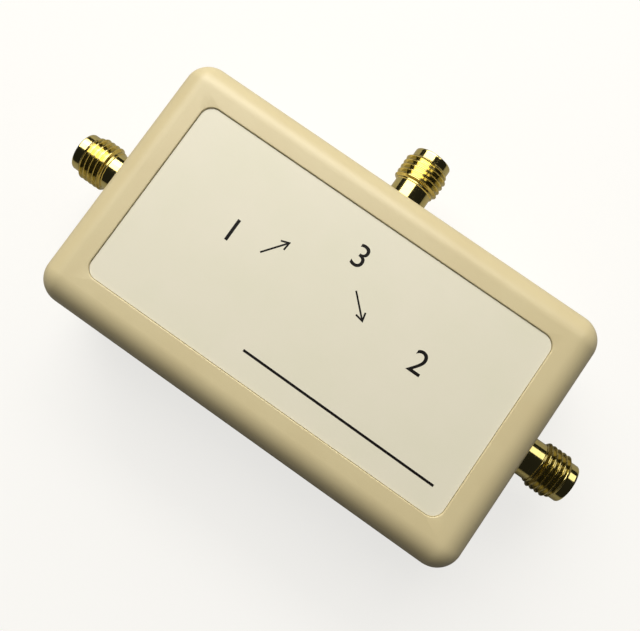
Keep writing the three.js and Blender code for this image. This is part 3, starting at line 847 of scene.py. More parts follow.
# %% Jack bodies
inch = 25.4 * MM
threads_per_inch = 36
thread_pitch = inch / threads_per_inch
jack_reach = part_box("output_jack_body")[1].x - case_length / 2
neck_radius = 2.65 * MM
bore_radius = 2.15 * MM
thread_start = 3.4 * MM
thread_end = 7.0 * MM
thread_root = 2.74 * MM
thread_crest = 3.15 * MM
thread_fade = 0.4 * MM
shoulder = 0.08 * MM
tip_edge = 0.15 * MM
tip_edge_bow = tip_edge / 3
bore_edge = 0.12 * MM
barrel_sides = 96
flange_size = Vector((9.5, 7.9, 2.0)) * MM
flange_edge = 0.15 * MM
flange_back = -4.3 * MM
leg_side = 1 * MM
leg_length = 4.5 * MM
leg_edge = 0.12 * MM
solder_gap = 0.1 * MM
axis_height = jacks["input_jack"].translation.z

front = jack_reach
barrel_profile = [
    (thread_root, thread_end),
    (neck_radius, thread_end + shoulder),
    (neck_radius, front - 2 * tip_edge),
    (neck_radius, front - tip_edge),
    (neck_radius - tip_edge_bow, front - tip_edge_bow),
    (neck_radius - tip_edge, front),
    (bore_radius + bore_edge, front),
    (bore_radius, front - bore_edge),
    (bore_radius, flange_back),
    (neck_radius, flange_back),
    (neck_radius, thread_start - shoulder),
    (thread_root, thread_start),
]
sleeve = thread(
    thread_pitch, thread_start, thread_end, thread_root, thread_crest, thread_fade, barrel_sides, gold_plate
)
body_master = solid("jack_body", turned(barrel_profile, barrel_sides, capped=False), sleeve)

flange = solid("flange", block(flange_size, (0, 0, flange_back + flange_size.z / 2), flange_edge))
leg_x = (flange_size.x - leg_side) / 2
leg_heights = [
    board_high.z + solder_gap + leg_side / 2 - axis_height,
    board_low.z - solder_gap - leg_side / 2 - axis_height,
]
leg_reach = leg_length + flange_size.z / 2
leg_middle = flange_back + flange_size.z / 2 - leg_reach / 2
leg_size = (leg_side, leg_side, leg_reach)
leg_spots = [(x, y, leg_middle) for x in (-leg_x, leg_x) for y in leg_heights]
legs = [block(leg_size, spot, leg_edge) for spot in leg_spots]
combined(flange, "UNION", solid("legs", *legs))
flange_bore_radius = (neck_radius + bore_radius) / 2
flange_bore_profile = [(flange_bore_radius, flange_back - overrun), (flange_bore_radius, overrun)]
flange_bore = turned(flange_bore_profile, barrel_sides)
combined(flange, "DIFFERENCE", solid("flange_bore", flange_bore))
combined(body_master, "UNION", flange)


def keep_distance_along(piece):
    """Stores each point's distance along Z on the mesh, for patterns that follow the piece's axis."""
    along = piece.data.attributes.new("along", "FLOAT", "POINT")
    along.data.foreach_set("value", [vertex.co.z for vertex in piece.data.vertices])


def at_each_jack(master, ending, node_ending, slot, material):
    """Copies a master to the three jacks, each copy with its place in its mesh, and deletes the master."""
    keep_distance_along(master)
    for name, matrix in jacks.items():
        mesh = master.data.copy()
        mesh.transform(matrix)
        finished(in_scene(f"{name}_{ending}", mesh), "case", slot, [f"{name}_{node_ending}"], material)
    bpy.data.objects.remove(master)


def keep_groove_depth(piece, low, high, root, crest):
    """Stores how deep in the thread's groove each point lies: 1 at the root, 0 at the crest and elsewhere."""
    depths = []
    for vertex in piece.data.vertices:
        depth = (crest - vertex.co.xy.length) / (crest - root)
        depths.append(min(max(depth, 0.0), 1.0) if low <= vertex.co.z <= high else 0.0)
    groove = piece.data.attributes.new("groove", "FLOAT", "POINT")
    groove.data.foreach_set("value", depths)


keep_groove_depth(body_master, thread_start, thread_end, thread_root, thread_crest)
at_each_jack(body_master, "barrel", "body", "gold_plate", gold_plate)

# %% [markdown]
# PTFE is a waxy white plastic. Light goes a little way into it, so its edges never look hard. It needs
# subsurface scattering more than it needs colour, which drifts only a little.

# %% PTFE and sockets
ptfe_cloud = 0.9 * MM
light_reach = 0.4 * MM
waxy = {"IOR": 1.38, "Subsurface_Weight": 0.35, "Subsurface_Scale": light_reach, "detail": 2.0}
ptfe = clouded_material("turned_white_ptfe", ptfe_cloud, "#F6F4EE", "#ECEAE2", 0.42, 0.55, **waxy)[0]

insulator_radius = 2.05 * MM
insulator_bore = 0.735 * MM
insulator_edge = 0.08 * MM
insulator_profile = [
    (insulator_bore, flange_back),
    (insulator_radius, flange_back),
    (insulator_radius, front - insulator_edge),
    (insulator_radius - insulator_edge, front),
    (insulator_bore + insulator_edge, front),
    (insulator_bore, front - insulator_edge),
]
insulator_master = solid("jack_insulator", turned(insulator_profile, round_sides, looped=True))
at_each_jack(insulator_master, "dielectric", "insulator", "dielectric", ptfe)

contact_radius = 0.635 * MM
contact_recess = 0.1 * MM
contact_front = front - contact_recess
contact_edge = 0.06 * MM
socket_radius = 0.47 * MM
socket_depth = 2.6 * MM
slot_width = 0.14 * MM
slot_length = 2.2 * MM
pin_radius = 0.4 * MM
pin_end = flange_back - 2.4 * MM
contact_sides = 48
contact_profile = [
    (0, pin_end),
    (pin_radius - contact_edge, pin_end),
    (pin_radius, pin_end + contact_edge),
    (pin_radius, flange_back),
    (contact_radius, flange_back),
    (contact_radius, contact_front - contact_edge),
    (contact_radius - contact_edge, contact_front),
    (socket_radius + contact_edge, contact_front),
    (socket_radius, contact_front - contact_edge),
    (socket_radius, contact_front - socket_depth),
    (0, contact_front - socket_depth - socket_radius),
]
contact_master = solid("jack_contact", turned(contact_profile, contact_sides))
slot_middle = contact_front - slot_length / 2 + overrun / 2
slot_reach = 4 * contact_radius
slot_edge = slot_width / 10
slot_run = slot_length + overrun
slot_sizes = [(slot_reach, slot_width, slot_run), (slot_width, slot_reach, slot_run)]
slots = [solid("slot", block(size, (0, 0, slot_middle), slot_edge)) for size in slot_sizes]
combined(contact_master, "DIFFERENCE", *slots)
at_each_jack(contact_master, "socket", "contact", "gold_plate", gold_plate)

# %% [markdown]
# ## Copies that stand on points
# The same screw, bead or spot of solder is fitted again and again, and each one lands with its own turn.
# This tree does that: it stands a piece on every point of a small mesh, turned about its own axis by
# what the point carries and by a chance amount from a fixed seed, and grown by the point's own size.

# %% Build the standing tree
standing_inputs = {"Geometry": "Geometry", "Piece": "Object", "Axis": "Vector", "Most turn": "Float"}
standing_tree, given = new_tree("stand_on_points", {**standing_inputs, "Seed": "Int", "Material": "Material"})
t = standing_tree
most = {"Max": given["Most turn"], "Seed": given["Seed"]}
chance = add(t, "FunctionNodeRandomValue", most, data_type="FLOAT")
own_turn = add(t, "GeometryNodeInputNamedAttribute", {"Name": "turn"}, data_type="FLOAT")
own_size = add(t, "GeometryNodeInputNamedAttribute", {"Name": "size"}, data_type="FLOAT")
turn = add(t, "ShaderNodeMath", {0: own_turn, 1: chance}, operation="ADD")
aimed = add(t, "FunctionNodeAlignRotationToVector", {"Vector": given["Axis"]}, axis="Z")
spin = add(t, "FunctionNodeAxisAngleToRotation", {"Axis": (0, 0, 1), "Angle": turn})
stood = add(t, "FunctionNodeRotateRotation", {"Rotation": aimed, "Rotate By": spin}, rotation_space="LOCAL")
piece = add(t, "GeometryNodeObjectInfo", {"Object": given["Piece"]}).outputs["Geometry"]
placed = add(
    t,
    "GeometryNodeInstanceOnPoints",
    {"Points": given["Geometry"], "Instance": piece, "Rotation": stood, "Scale": own_size},
)
end_tree(t, placed, given["Material"])


def spots(name, places, turns=None, sizes=None):
    """A mesh of loose points, each with its own turn and size."""
    mesh = bpy.data.meshes.new(name)
    mesh.from_pydata(places, [], [])
    for label, values, usual in (("turn", turns, 0.0), ("size", sizes, 1.0)):
        stored = mesh.attributes.new(label, "FLOAT", "POINT")
        stored.data.foreach_set("value", values or [usual] * len(places))
    return in_scene(name, mesh)


def stood_on(points, master, axis, most_turn, seed, material):
    """The master on each of the points, as one plain mesh, and the master is deleted."""
    inputs = {"Piece": master, "Axis": axis, "Most turn": most_turn, "Seed": seed, "Material": material}
    made = grown(points, standing_tree, inputs)
    bpy.data.objects.remove(master)
    return made


# %% [markdown]
# ## Screws
# The two halves are held by four pan-head screws from below, and the board by two smaller ones. Each is
# cold-headed from steel wire, its cross recess is punched with a tapered tool, and its coarse thread is
# rolled. The zinc plating is bright but greyer than the jacks' gold, and a little cloudy.

# %% Zinc-plated steel
zinc_cloud = 0.8 * MM
zinc_ring = 0.09 * MM

zinc_plate, tree, surface = clouded_material(
    "zinc_plated_steel", zinc_cloud, "#C9CBCD", "#A3A7AB", 0.22, 0.42, Metallic=1.0
)[:3]
add_turning_rings(tree, surface, zinc_ring, 0.2)

# %% The screws
screw_sides = 48
dome_steps = 8
pan_power_share = 0.6
head_wall_share = 0.35
head_edge = 0.08 * MM
recess_depth_share = 0.7
recess_taper_share = 0.6
recess_corner_share = 0.3
thread_root_share = 0.74
plain_neck = 0.6 * MM
tip_share = 0.35


def screw_master(name, head_radius, head_height, shank_radius, length, tip, recess_width, pitch):
    """A pan-head screw about Z, with its seat at zero and its head upwards."""
    root = shank_radius * thread_root_share
    thread_low, thread_high = tip - length, -plain_neck
    head_wall = head_height * head_wall_share
    upper = [(root, thread_high), (root, 0), (head_radius - head_edge, 0), (head_radius, head_edge)]
    for across, up in quarter_arc(dome_steps):
        radius = head_radius * max(across, 0) ** pan_power_share
        upper.append((radius, head_wall + (head_height - head_wall) * up ** pan_power_share))
    upper[-1] = (0, head_height)
    lower = [(0, -length), (root * tip_share, -length + head_edge), (root, thread_low)]
    sleeve = thread(pitch, thread_low, thread_high, root, shank_radius, pitch, screw_sides, zinc_plate)
    strips = [turned(profile, screw_sides, capped=False) for profile in (upper, lower)]
    made = solid(name, *strips, sleeve)
    reach = 2 * head_radius * recess_taper_share
    deep = head_height * (1 - recess_depth_share)
    levels = [(recess_taper_share, deep), (1, head_height), (1, head_height + overrun)]
    for wing in (0, quarter):
        rings = []
        for share, level in levels:
            width = recess_width * share
            corner = width * recess_corner_share
            rings.append(rounded_outline(reach * share, width, corner, level, small_edge_steps))
        cutter = moved(skinned(rings), Matrix.Rotation(wing, 4, "Z"))
        combined(made, "DIFFERENCE", solid("recess_wing", cutter))
    keep_distance_along(made)
    return made


def fit_screws(name, nodes, places, seat, head_way, seed, **sizes):
    """Screws of one kind on their seats, heads up (1) or down (-1), as long as the frame holds them."""
    low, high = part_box(nodes[0])
    head_height, length = high.z - seat, seat - low.z
    if head_way < 0:
        head_height, length = length, head_height
    master = screw_master(name, (high.x - low.x) / 2, head_height, length=length, **sizes)
    seats = spots(name + "s", [(p.x, p.y, seat) for p in places])
    screws = stood_on(seats, master, (0, 0, head_way), 2 * math.pi, seed, zinc_plate)
    finished(screws, "case", "screw_steel", nodes, zinc_plate)


case_sizes = {"shank_radius": 1.3 * MM, "tip": 1.2 * MM, "recess_width": 0.7 * MM, "pitch": 1.1 * MM}
board_sizes = {"shank_radius": 1.0 * MM, "tip": 0.8 * MM, "recess_width": 0.5 * MM, "pitch": 0.8 * MM}
fit_screws("case_screw", screw_names, screw_places, counterbore_depth, -1, 11, **case_sizes)
fit_screws("board_screw", board_screw_names, board_screw_places, board_high.z, 1, 4, **board_sizes)

# %% [markdown]
# ## Ferrite beads
# Each line of the balun runs through four ferrite beads. A bead is pressed from iron-oxide powder with
# nickel and zinc, then fired hard: a dark, slightly brown grey with tiny pale grains, satin and dry, with
# edges that the tumbling drum has rounded. No two are turned alike on their line.

# %% Ferrite and the beads
ferrite_grain = 0.11 * MM
ferrite_cloud = 1.1 * MM
ferrite_pit_depth = 0.01 * MM
fleck_share = 0.35
fleck_strength = 0.5

ferrite, tree, surface = clouded_material(
    "fired_nickel_zinc_ferrite", ferrite_cloud, "#2F2D2E", "#454042", 0.38, 0.6, IOR=1.9
)[:3]
body = surface.inputs["Base Color"].links[0].from_socket
place = add(tree, "ShaderNodeTexCoord").outputs["Object"]
grain = add(tree, "ShaderNodeTexVoronoi", {"Vector": place, "Scale": 1 / ferrite_grain}).outputs["Distance"]
near_grain = {"Value": grain, "From Max": fleck_share, "To Min": fleck_strength, "To Max": 0.0}
fleck = add(tree, "ShaderNodeMapRange", near_grain)
flecked = add(tree, "ShaderNodeMix", {"Factor": fleck, "A": body, "B": linear("#6B6663")}, data_type="RGBA")
tree.links.new(flecked.outputs[2], surface.inputs["Base Color"])
pitted = add(tree, "ShaderNodeBump", {"Height": grain, "Strength": 0.3, "Distance": ferrite_pit_depth})
tree.links.new(pitted.outputs[0], surface.inputs["Normal"])

bead_wall = 0.85 * MM
bead_edge = 0.25 * MM
bead_sides = 64
for line_name, seed in {"measuring": 3, "balancing": 8}.items():
    bead_names = [f"{line_name}_bead_{number}" for number in range(1, 5)]
    boxes = [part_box(name) for name in bead_names]
    size = boxes[0][1] - boxes[0][0]
    section = rounded_outline(bead_wall, size.x, bead_edge, 0, small_edge_steps)
    middle_radius = (size.y - bead_wall) / 2
    bead = solid("bead", turned([(middle_radius + p.x, p.y) for p in section], bead_sides, looped=True))
    places = spots(line_name + "_beads", [(low + high) / 2 for low, high in boxes])
    beads = stood_on(places, bead, (1, 0, 0), 2 * math.pi, seed, ferrite)
    finished(beads, "case", "ferrite", bead_names, ferrite)

# %% [markdown]
# ## The two lines
# Inside the beads runs a short piece of coaxial cable, bent by hand: a copper braid soaked with tin, PTFE
# inside it, and a silvered core that dips down to its pad. Both ends of a line are the same, so one
# function gives the height of the cable's middle from the distance to its nearer end. The braid's bundles
# cross on the surface, and the pattern follows the cable by two numbers kept on its mesh.

# %% Tinned metals
braid_pitch = 1.5 * MM
braid_strands = 7.0
braid_depth = 0.05 * MM
tin_cloud = 0.5 * MM
tin_depth = 0.02 * MM

# Each has its pale and deep colour, and how smooth and how dull its clouds are.
tinned_looks = {
    "bright_tin_solder": ("#D9D9D6", "#B4B6B8", 0.1, 0.3),
    "silvered_copper_wire": ("#DDDAD2", "#C2BCB0", 0.15, 0.3),
    "tin_soaked_copper_braid": ("#CFCBC2", "#A8A196", 0.22, 0.4),
}
tinned = {
    name: speckled_material(name, tin_cloud, tin_depth, *looks, Metallic=1.0)
    for name, looks in tinned_looks.items()
}
solder = tinned["bright_tin_solder"][0]
silvered_core = tinned["silvered_copper_wire"][0]
braid, sunk = tinned["tin_soaked_copper_braid"]
tree = braid.node_tree
along = add(tree, "ShaderNodeAttribute", attribute_name="along").outputs["Fac"]
around = add(tree, "ShaderNodeAttribute", attribute_name="around").outputs["Fac"]
climb = add(tree, "ShaderNodeMath", {0: along, 1: 2 * math.pi / braid_pitch}, operation="MULTIPLY")
weave = []
for lay in (1, -1):
    leaned = {0: around, 1: lay * 2 * math.pi * braid_strands, 2: climb}
    lean = add(tree, "ShaderNodeMath", leaned, operation="MULTIPLY_ADD")
    weave.append(add(tree, "ShaderNodeMath", {0: lean}, operation="SINE"))
crossed = add(tree, "ShaderNodeMath", {0: weave[0], 1: weave[1]}, operation="MULTIPLY")
weaving = {"Height": crossed, "Strength": 0.8, "Distance": braid_depth, "Normal": sunk}
woven = add(tree, "ShaderNodeBump", weaving)
tree.links.new(woven.outputs[0], tree.nodes["Principled BSDF"].inputs["Normal"])

# %% The lines, from end to end
cable_radius = 1.1 * MM
cable_core_radius = 0.25 * MM
cable_filling_radius = 0.8 * MM
core_run = 1 * MM
braid_run = 0.6 * MM
bend_run = 3.6 * MM
bend_start_share = 0.35
rest_gap = 0.3 * MM
filling_stub = 0.25 * MM
braid_edge = 0.1 * MM
bend_steps = 28
core_steps = 12
cable_sides = 48
core_sides = 20
bead_height = (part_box("measuring_bead_1")[0].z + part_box("measuring_bead_1")[1].z) / 2
braid_height = board_high.z + rest_gap + cable_radius
core_height = board_high.z + solder_gap + cable_core_radius


def smooth_step(value, start, length):
    """Rises from 0 at the start to 1 a length further on, and is level at both ends."""
    share = min(max((value - start) / length, 0), 1)
    return share * share * (3 - 2 * share)


def cable_middle(run):
    """The height of the cable's middle, by the distance from its nearer end."""
    return braid_height + (bead_height - braid_height) * smooth_step(run, core_run + braid_run, bend_run)


def core_middle(run):
    """The height of the core's middle, by the distance from its nearer end."""
    rise = smooth_step(run, core_run * bend_start_share, core_run / 2)
    return core_height + (braid_height - core_height) * rise


def braid_radius(run):
    """The braid's radius, which is smaller at its very end."""
    return cable_radius - max(core_run + braid_edge - run, 0)


def piped(stations, sides):
    """A closed pipe along a route in an upright plane; each station is a middle and a radius."""
    rings = []
    for index, (middle, radius) in enumerate(stations):
        way = stations[min(index + 1, len(stations) - 1)][0] - stations[max(index - 1, 0)][0]
        across = Vector((0, 1, 0))
        upright = way.cross(across).normalized()
        turns = [2 * math.pi * side / sides for side in range(sides)]
        rings.append([middle + radius * (math.sin(a) * across + math.cos(a) * upright) for a in turns])
    return skinned(rings)


def from_both_ends(y, start, end, runs, middle_height, radius_at, joined):
    """Stations along a line: the given runs from its left end and, mirrored, from its right end."""
    left = [(Vector((start + run, y, middle_height(run))), radius_at(run)) for run in runs]
    right = [(Vector((end - run, y, middle_height(run))), radius_at(run)) for run in reversed(runs)]
    return [left + right] if joined else [left, right]


edge_runs = [core_run, core_run + braid_edge]
bend_runs = [core_run + braid_run + bend_run * step / bend_steps for step in range(bend_steps + 1)]
stub_runs = [core_run - filling_stub, core_run + braid_run]
core_runs = [(core_run + braid_run) * step / core_steps for step in range(core_steps + 1)]
cores, fillings = [], []
for line_name in ("measuring", "balancing"):
    low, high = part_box(line_name + "_line")
    start, end, y = low.x, high.x, (low.y + high.y) / 2
    stations = from_both_ends(y, start, end, edge_runs + bend_runs, cable_middle, braid_radius, True)
    shield = solid(line_name + "_shield", *[piped(route, cable_sides) for route in stations])
    along = shield.data.attributes.new("along", "FLOAT", "POINT")
    around = shield.data.attributes.new("around", "FLOAT", "POINT")
    for index, vertex in enumerate(shield.data.vertices):
        spot = vertex.co
        run = min(spot.x - start, end - spot.x)
        along.data[index].value = spot.x
        around.data[index].value = math.atan2(spot.y - y, spot.z - cable_middle(run)) / (2 * math.pi)
    finished(shield, "case", "tinned_copper", [line_name + "_line"], braid)

    stubs = from_both_ends(y, start, end, stub_runs, cable_middle, lambda run: cable_filling_radius, False)
    fillings += [piped(route, cable_sides) for route in stubs]
    tails = from_both_ends(y, start, end, core_runs, core_middle, lambda run: cable_core_radius, False)
    cores += [piped(route, core_sides) for route in tails]
finished(solid("line_cores", *cores), "case", "tinned_copper", [], silvered_core)
finished(solid("line_fillings", *fillings), "case", "dielectric", [], ptfe)

# %% [markdown]
# ## Chip resistors
# The other arms of the bridge are chip resistors. Each is a plate of white fired alumina with tin caps
# wrapped round its two ends and a black glaze over the film on its top, as they all are. They are bare of
# any code.

# %% Alumina, glaze and the chips
alumina_grain = 0.05 * MM
alumina_depth = 0.006 * MM
glaze_cloud = 0.4 * MM
glaze_depth = 0.01 * MM
alumina = speckled_material(
    "fired_white_alumina", alumina_grain, alumina_depth, "#F1EFEA", "#DAD7D0", 0.45, 0.65
)[0]
glaze = speckled_material("black_glass_glaze", glaze_cloud, glaze_depth, "#101013", "#1E1E22", 0.08, 0.22)[0]

cap_length = 0.5 * MM
cap_rise = 0.05 * MM
cap_edge = 0.09 * MM
body_edge = 0.04 * MM
glaze_margin = 0.12 * MM
glaze_thickness = 0.05 * MM
glaze_edge = glaze_thickness / 3
chip_names = ["arm_resistor_test", "arm_resistor_reference", "reference_resistor_a", "reference_resistor_b"]
chip_places = {}
chip_parts = {"bodies": [], "caps": [], "glaze": []}
for name in chip_names:
    low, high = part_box(name)
    size = high - low
    chip_length, chip_width, chip_height = max(size.xy), min(size.xy), size.z
    turn = 0 if size.x > size.y else quarter
    middle = (low + high) / 2
    place = Matrix.Translation((middle.x, middle.y, low.z)) @ Matrix.Rotation(turn, 4, "Z")
    chip_places[name] = place
    body_height = chip_height - cap_rise
    body_size = (chip_length - cap_length, chip_width - 2 * cap_rise, body_height)
    chip_parts["bodies"].append(moved(block(body_size, (0, 0, body_height / 2), body_edge), place))
    for side in (-1, 1):
        cap_middle = (side * (chip_length - cap_length) / 2, 0, chip_height / 2)
        cap = block((cap_length, chip_width, chip_height), cap_middle, cap_edge)
        chip_parts["caps"].append(moved(cap, place))
    glaze_size = (chip_length - 2 * cap_length - glaze_margin, body_size[1] - glaze_margin, glaze_thickness)
    chip_parts["glaze"].append(moved(block(glaze_size, (0, 0, body_height), glaze_edge), place))
finished(solid("chip_bodies", *chip_parts["bodies"]), "case", "chip_ceramic", chip_names, alumina)
finished(solid("chip_caps", *chip_parts["caps"]), "case", "tinned_copper", [], solder)
finished(solid("chip_glaze", *chip_parts["glaze"]), "case", "chip_ceramic", [], glaze)

# %% [markdown]
# ## The circuit board
# The board is 1.6 mm of woven glass in epoxy, notched at its corners for the screw bosses. Copper is
# etched on it and a green film covers everything but the pads, so a track shows as a paler green ridge.
# The signal tracks are drawn first. The ground copper is the rest of the board, less a gap round each
# track, which is how a layout program pours it too.

# %% Board materials
weave_pitch = 0.45 * MM
weave_depth = 0.008 * MM
mask_cloud = 5 * MM
layer_height = 0.2 * MM


def mask_material(name, pale, deep):
    """Glossy green film; the glass weave under it shows as faint bumps in two directions."""
    material, tree, surface = clouded_material(
        name, mask_cloud, pale, deep, 0.16, 0.34, detail=4.0, IOR=1.52
    )[:3]
    place = add(tree, "ShaderNodeTexCoord").outputs["Object"]
    split = add(tree, "ShaderNodeSeparateXYZ", {0: place})
    threads = []
    for axis in "XY":
        scaled = {0: split.outputs[axis], 1: 2 * math.pi / weave_pitch}
        turns = add(tree, "ShaderNodeMath", scaled, operation="MULTIPLY")
        threads.append(add(tree, "ShaderNodeMath", {0: turns}, operation="SINE"))
    cloth = add(tree, "ShaderNodeMath", {0: threads[0], 1: threads[1]}, operation="MULTIPLY")
    woven = add(tree, "ShaderNodeBump", {"Height": cloth, "Strength": 0.25, "Distance": weave_depth})
    tree.links.new(woven.outputs[0], surface.inputs["Normal"])
    return material


mask_on_epoxy = mask_material("green_mask_on_glass_epoxy", "#1B4F33", "#143F29")
mask_on_copper = mask_material("green_mask_on_copper", "#2C7A4B", "#24693F")

cut_epoxy, tree, surface = new_material("cut_glass_epoxy", IOR=1.5)
place = add(tree, "ShaderNodeTexCoord").outputs["Object"]
height = add(tree, "ShaderNodeSeparateXYZ", {0: place}).outputs["Z"]
layers = add(tree, "ShaderNodeMath", {0: height, 1: 2 * math.pi / layer_height}, operation="MULTIPLY")
layer = add(tree, "ShaderNodeMath", {0: layers}, operation="SINE")
layer_share = add(tree, "ShaderNodeMapRange", {"Value": layer, "From Min": -1.0})
layered = {"Factor": layer_share, "A": linear("#C9BE8C"), "B": linear("#A89B66")}
epoxy = add(tree, "ShaderNodeMix", layered, data_type="RGBA")
tree.links.new(epoxy.outputs[2], surface.inputs["Base Color"])
rough = add(tree, "ShaderNodeMapRange", {"Value": layer_share, "To Min": 0.5, "To Max": 0.75})
tree.links.new(rough.outputs[0], surface.inputs["Roughness"])

# %% The laminate
notch_gap = 0.5 * MM
notch_corner = 0.5 * MM
board_hole_radius = 1.15 * MM
notch_x = abs(screw_places[0].x) - boss_radius - notch_gap
notch_y = abs(screw_places[0].y) - boss_radius - notch_gap
left, bottom = board_low.xy
right, top = board_high.xy
board_corners = [
    Vector(corner)
    for corner in [
        (-notch_x, bottom), (notch_x, bottom), (notch_x, -notch_y), (right, -notch_y),
        (right, notch_y), (notch_x, notch_y), (notch_x, top), (-notch_x, top),
        (-notch_x, notch_y), (left, notch_y), (left, -notch_y), (-notch_x, -notch_y),
    ]
]


def softened(corners, radius, inset=0):
    """A right-angled outline, run anticlockwise, drawn in by an inset, with every corner rounded."""
    outline = []
    for index, corner in enumerate(corners):
        back = (corners[index - 1] - corner).normalized()
        ahead = (corners[(index + 1) % len(corners)] - corner).normalized()
        inward = Vector((-ahead.y, ahead.x)) + Vector((back.y, -back.x))
        centre = corner + inward * inset + (back + ahead) * radius
        for across, up in quarter_arc(small_edge_steps):
            outline.append(centre - radius * (ahead * across + back * up))
    return outline


laminate = solid("board_laminate", slab(softened(board_corners, notch_corner), board_low.z, board_high.z))
hole_low, hole_high = board_low.z - overrun, board_high.z + overrun
screw_holes = [post(board_hole_radius, p, hole_low, hole_high) for p in board_screw_places]
combined(laminate, "DIFFERENCE", solid("screw_holes", *screw_holes))
finished(laminate, "case", "board", ["circuit_board"], mask_on_epoxy, cut_epoxy)
level_share = 0.5
for face in laminate.data.polygons:
    face.material_index = 0 if abs(face.normal.z) > level_share else 1

# %% Joints: where each lead meets the board, and the size of its solder
# Length and width at the pad, height, then length and width at the top, in mm.
joint_sizes = {
    "leg": (4.7, 1.9, 0.5, 4.4, 1.0),
    "pin": (2.3, 1.5, 0.5, 1.9, 0.5),
    "core": (1.2, 1.1, 0.4, 0.6, 0.3),
    "braid": (1.0, 2.6, 0.8, 0.6, 1.9),
    "cap": (1.0, 1.7, 0.5, 0.3, 1.5),
}
signal_joints = {kind: [] for kind in joint_sizes}
ground_joints = {kind: [] for kind in joint_sizes}


def keep_joint(kind, grounded, point, turn=0):
    """Notes a joint on the board, among those of the ground copper or of the signal tracks."""
    joints = ground_joints if grounded else signal_joints
    place = Matrix.Translation((point.x, point.y, board_high.z)) @ Matrix.Rotation(turn, 4, "Z")
    joints[kind].append(place)


pins = {}
for name, matrix in jacks.items():
    outward = matrix.to_3x3() @ Vector((0, 0, 1))
    turn = math.atan2(outward.y, outward.x)
    pin_middle = matrix @ Vector((0, 0, (flange_back + pin_end) / 2))
    pins[name] = pin_middle.xy
    keep_joint("pin", False, pin_middle, turn)
    for side in (-leg_x, leg_x):
        leg_point = matrix @ Vector((side, 0, flange_back - leg_length / 2))
        keep_joint("leg", True, leg_point, turn)
line_ends = {}
for line_name in ("measuring", "balancing"):
    low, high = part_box(line_name + "_line")
    y = (low.y + high.y) / 2
    for side, end, inward in (("left", low.x, 1), ("right", high.x, -1)):
        line_ends[line_name, side] = Vector((end, y))
        core_point = Vector((end + inward * core_run * bend_start_share / 2, y))
        keep_joint("core", (line_name, side) == ("balancing", "right"), core_point)
        keep_joint("braid", True, Vector((end + inward * (core_run + braid_run / 2), y)))
cap_points = {}
for name, place in chip_places.items():
    for side in (-1, 1):
        cap_end = place @ Vector((side * (chip_length - cap_length / 2) / 2, 0, 0))
        cap_points[name, side] = cap_end.xy
        turn = math.atan2(place[1][0], place[0][0])
        keep_joint("cap", name.startswith("reference") and side == -1, cap_end, turn)

# %% Copper
copper_rise = 0.035 * MM
pad_rise = 0.045 * MM
track_width = 1.1 * MM
clearance = 0.35 * MM
pad_margin = 0.12 * MM
pour_inset = 0.6 * MM
fork_gap = 2.5 * MM
screw_clear_radius = 2.3 * MM
pad_corner_share = 0.25
track_end_sides = 32
test_arm, reference_arm = cap_points["arm_resistor_test", -1], cap_points["arm_resistor_reference", -1]
fork = Vector((test_arm.x - fork_gap, pins["input_jack"].y))
measuring_left, balancing_left = line_ends["measuring", "left"], line_ends["balancing", "left"]
measuring_right = line_ends["measuring", "right"]
joint_a, joint_b = cap_points["reference_resistor_a", 1], cap_points["reference_resistor_b", 1]
output_pin, test_pin = pins["output_jack"], pins["test_port_jack"]
test_bend = Vector((test_pin.x, measuring_left.y + (test_pin.x - measuring_left.x)))
output_bend = Vector((measuring_right.x, output_pin.y + output_pin.x - measuring_right.x))
signal_tracks = [
    [pins["input_jack"], fork],
    [fork, test_arm],
    [fork, reference_arm],
    [cap_points["arm_resistor_test", 1], measuring_left],
    [cap_points["arm_resistor_reference", 1], balancing_left],
    [balancing_left, Vector((balancing_left.x, joint_a.y))],
    [joint_a, joint_b],
    [test_pin, test_bend, measuring_left],
    [measuring_right, output_bend, output_pin],
]


def joint_slab(kind, place, margin, low, high):
    """A rounded plate under one joint, larger than its solder by a margin."""
    length, width = [size * MM + 2 * margin for size in joint_sizes[kind][:2]]
    radius = min(length, width) * pad_corner_share
    outline = rounded_outline(length, width, radius, 0, small_edge_steps)
    return moved(slab(outline, low, high), place)


def track_slabs(extra, low, high):
    """Every signal track as a plate, wider by twice the extra, with round ends at its corners."""
    width = track_width + 2 * extra
    plates = []
    for path in signal_tracks:
        plates.append(slab(strip(path, width), low, high))
        for corner in path:
            plates.append(post(width / 2, corner, low, high, sides=track_end_sides))
    return plates


board_top = board_high.z
sunk_low, cut_high = board_top - copper_rise, board_top + overrun
tracks = None
for plate in track_slabs(0, sunk_low, board_top + copper_rise):
    part = solid("board_tracks" if tracks is None else "track", plate)
    tracks = part if tracks is None else combined(tracks, "UNION", part)
finished(tracks, "case", "board", [], mask_on_copper)

pour_outline = softened(board_corners, notch_corner, pour_inset)
pour = solid("ground_pour", slab(pour_outline, sunk_low, board_top + copper_rise))
gaps = track_slabs(clearance, board_low.z, cut_high)
for kind, places in signal_joints.items():
    for place in places:
        gaps.append(joint_slab(kind, place, clearance + pad_margin, board_low.z - board_top, overrun))
gaps += [post(screw_clear_radius, p, board_low.z, cut_high) for p in board_screw_places]
combined(pour, "DIFFERENCE", *[solid("gap", gap) for gap in gaps])
finished(pour, "case", "board", [], mask_on_copper)

# %% [markdown]
# ## Pads and solder
# Each lead lies on a bare tinned pad. Molten solder climbs it and pulls itself into a hollow curve, wide
# at the pad and thin at the top. One function draws such a mound from its sizes, and the standing tree
# puts it wherever the frame says that a lead meets the board.

# %% Pads and mounds
mound_steps = 7
mound_corner_share = 0.45


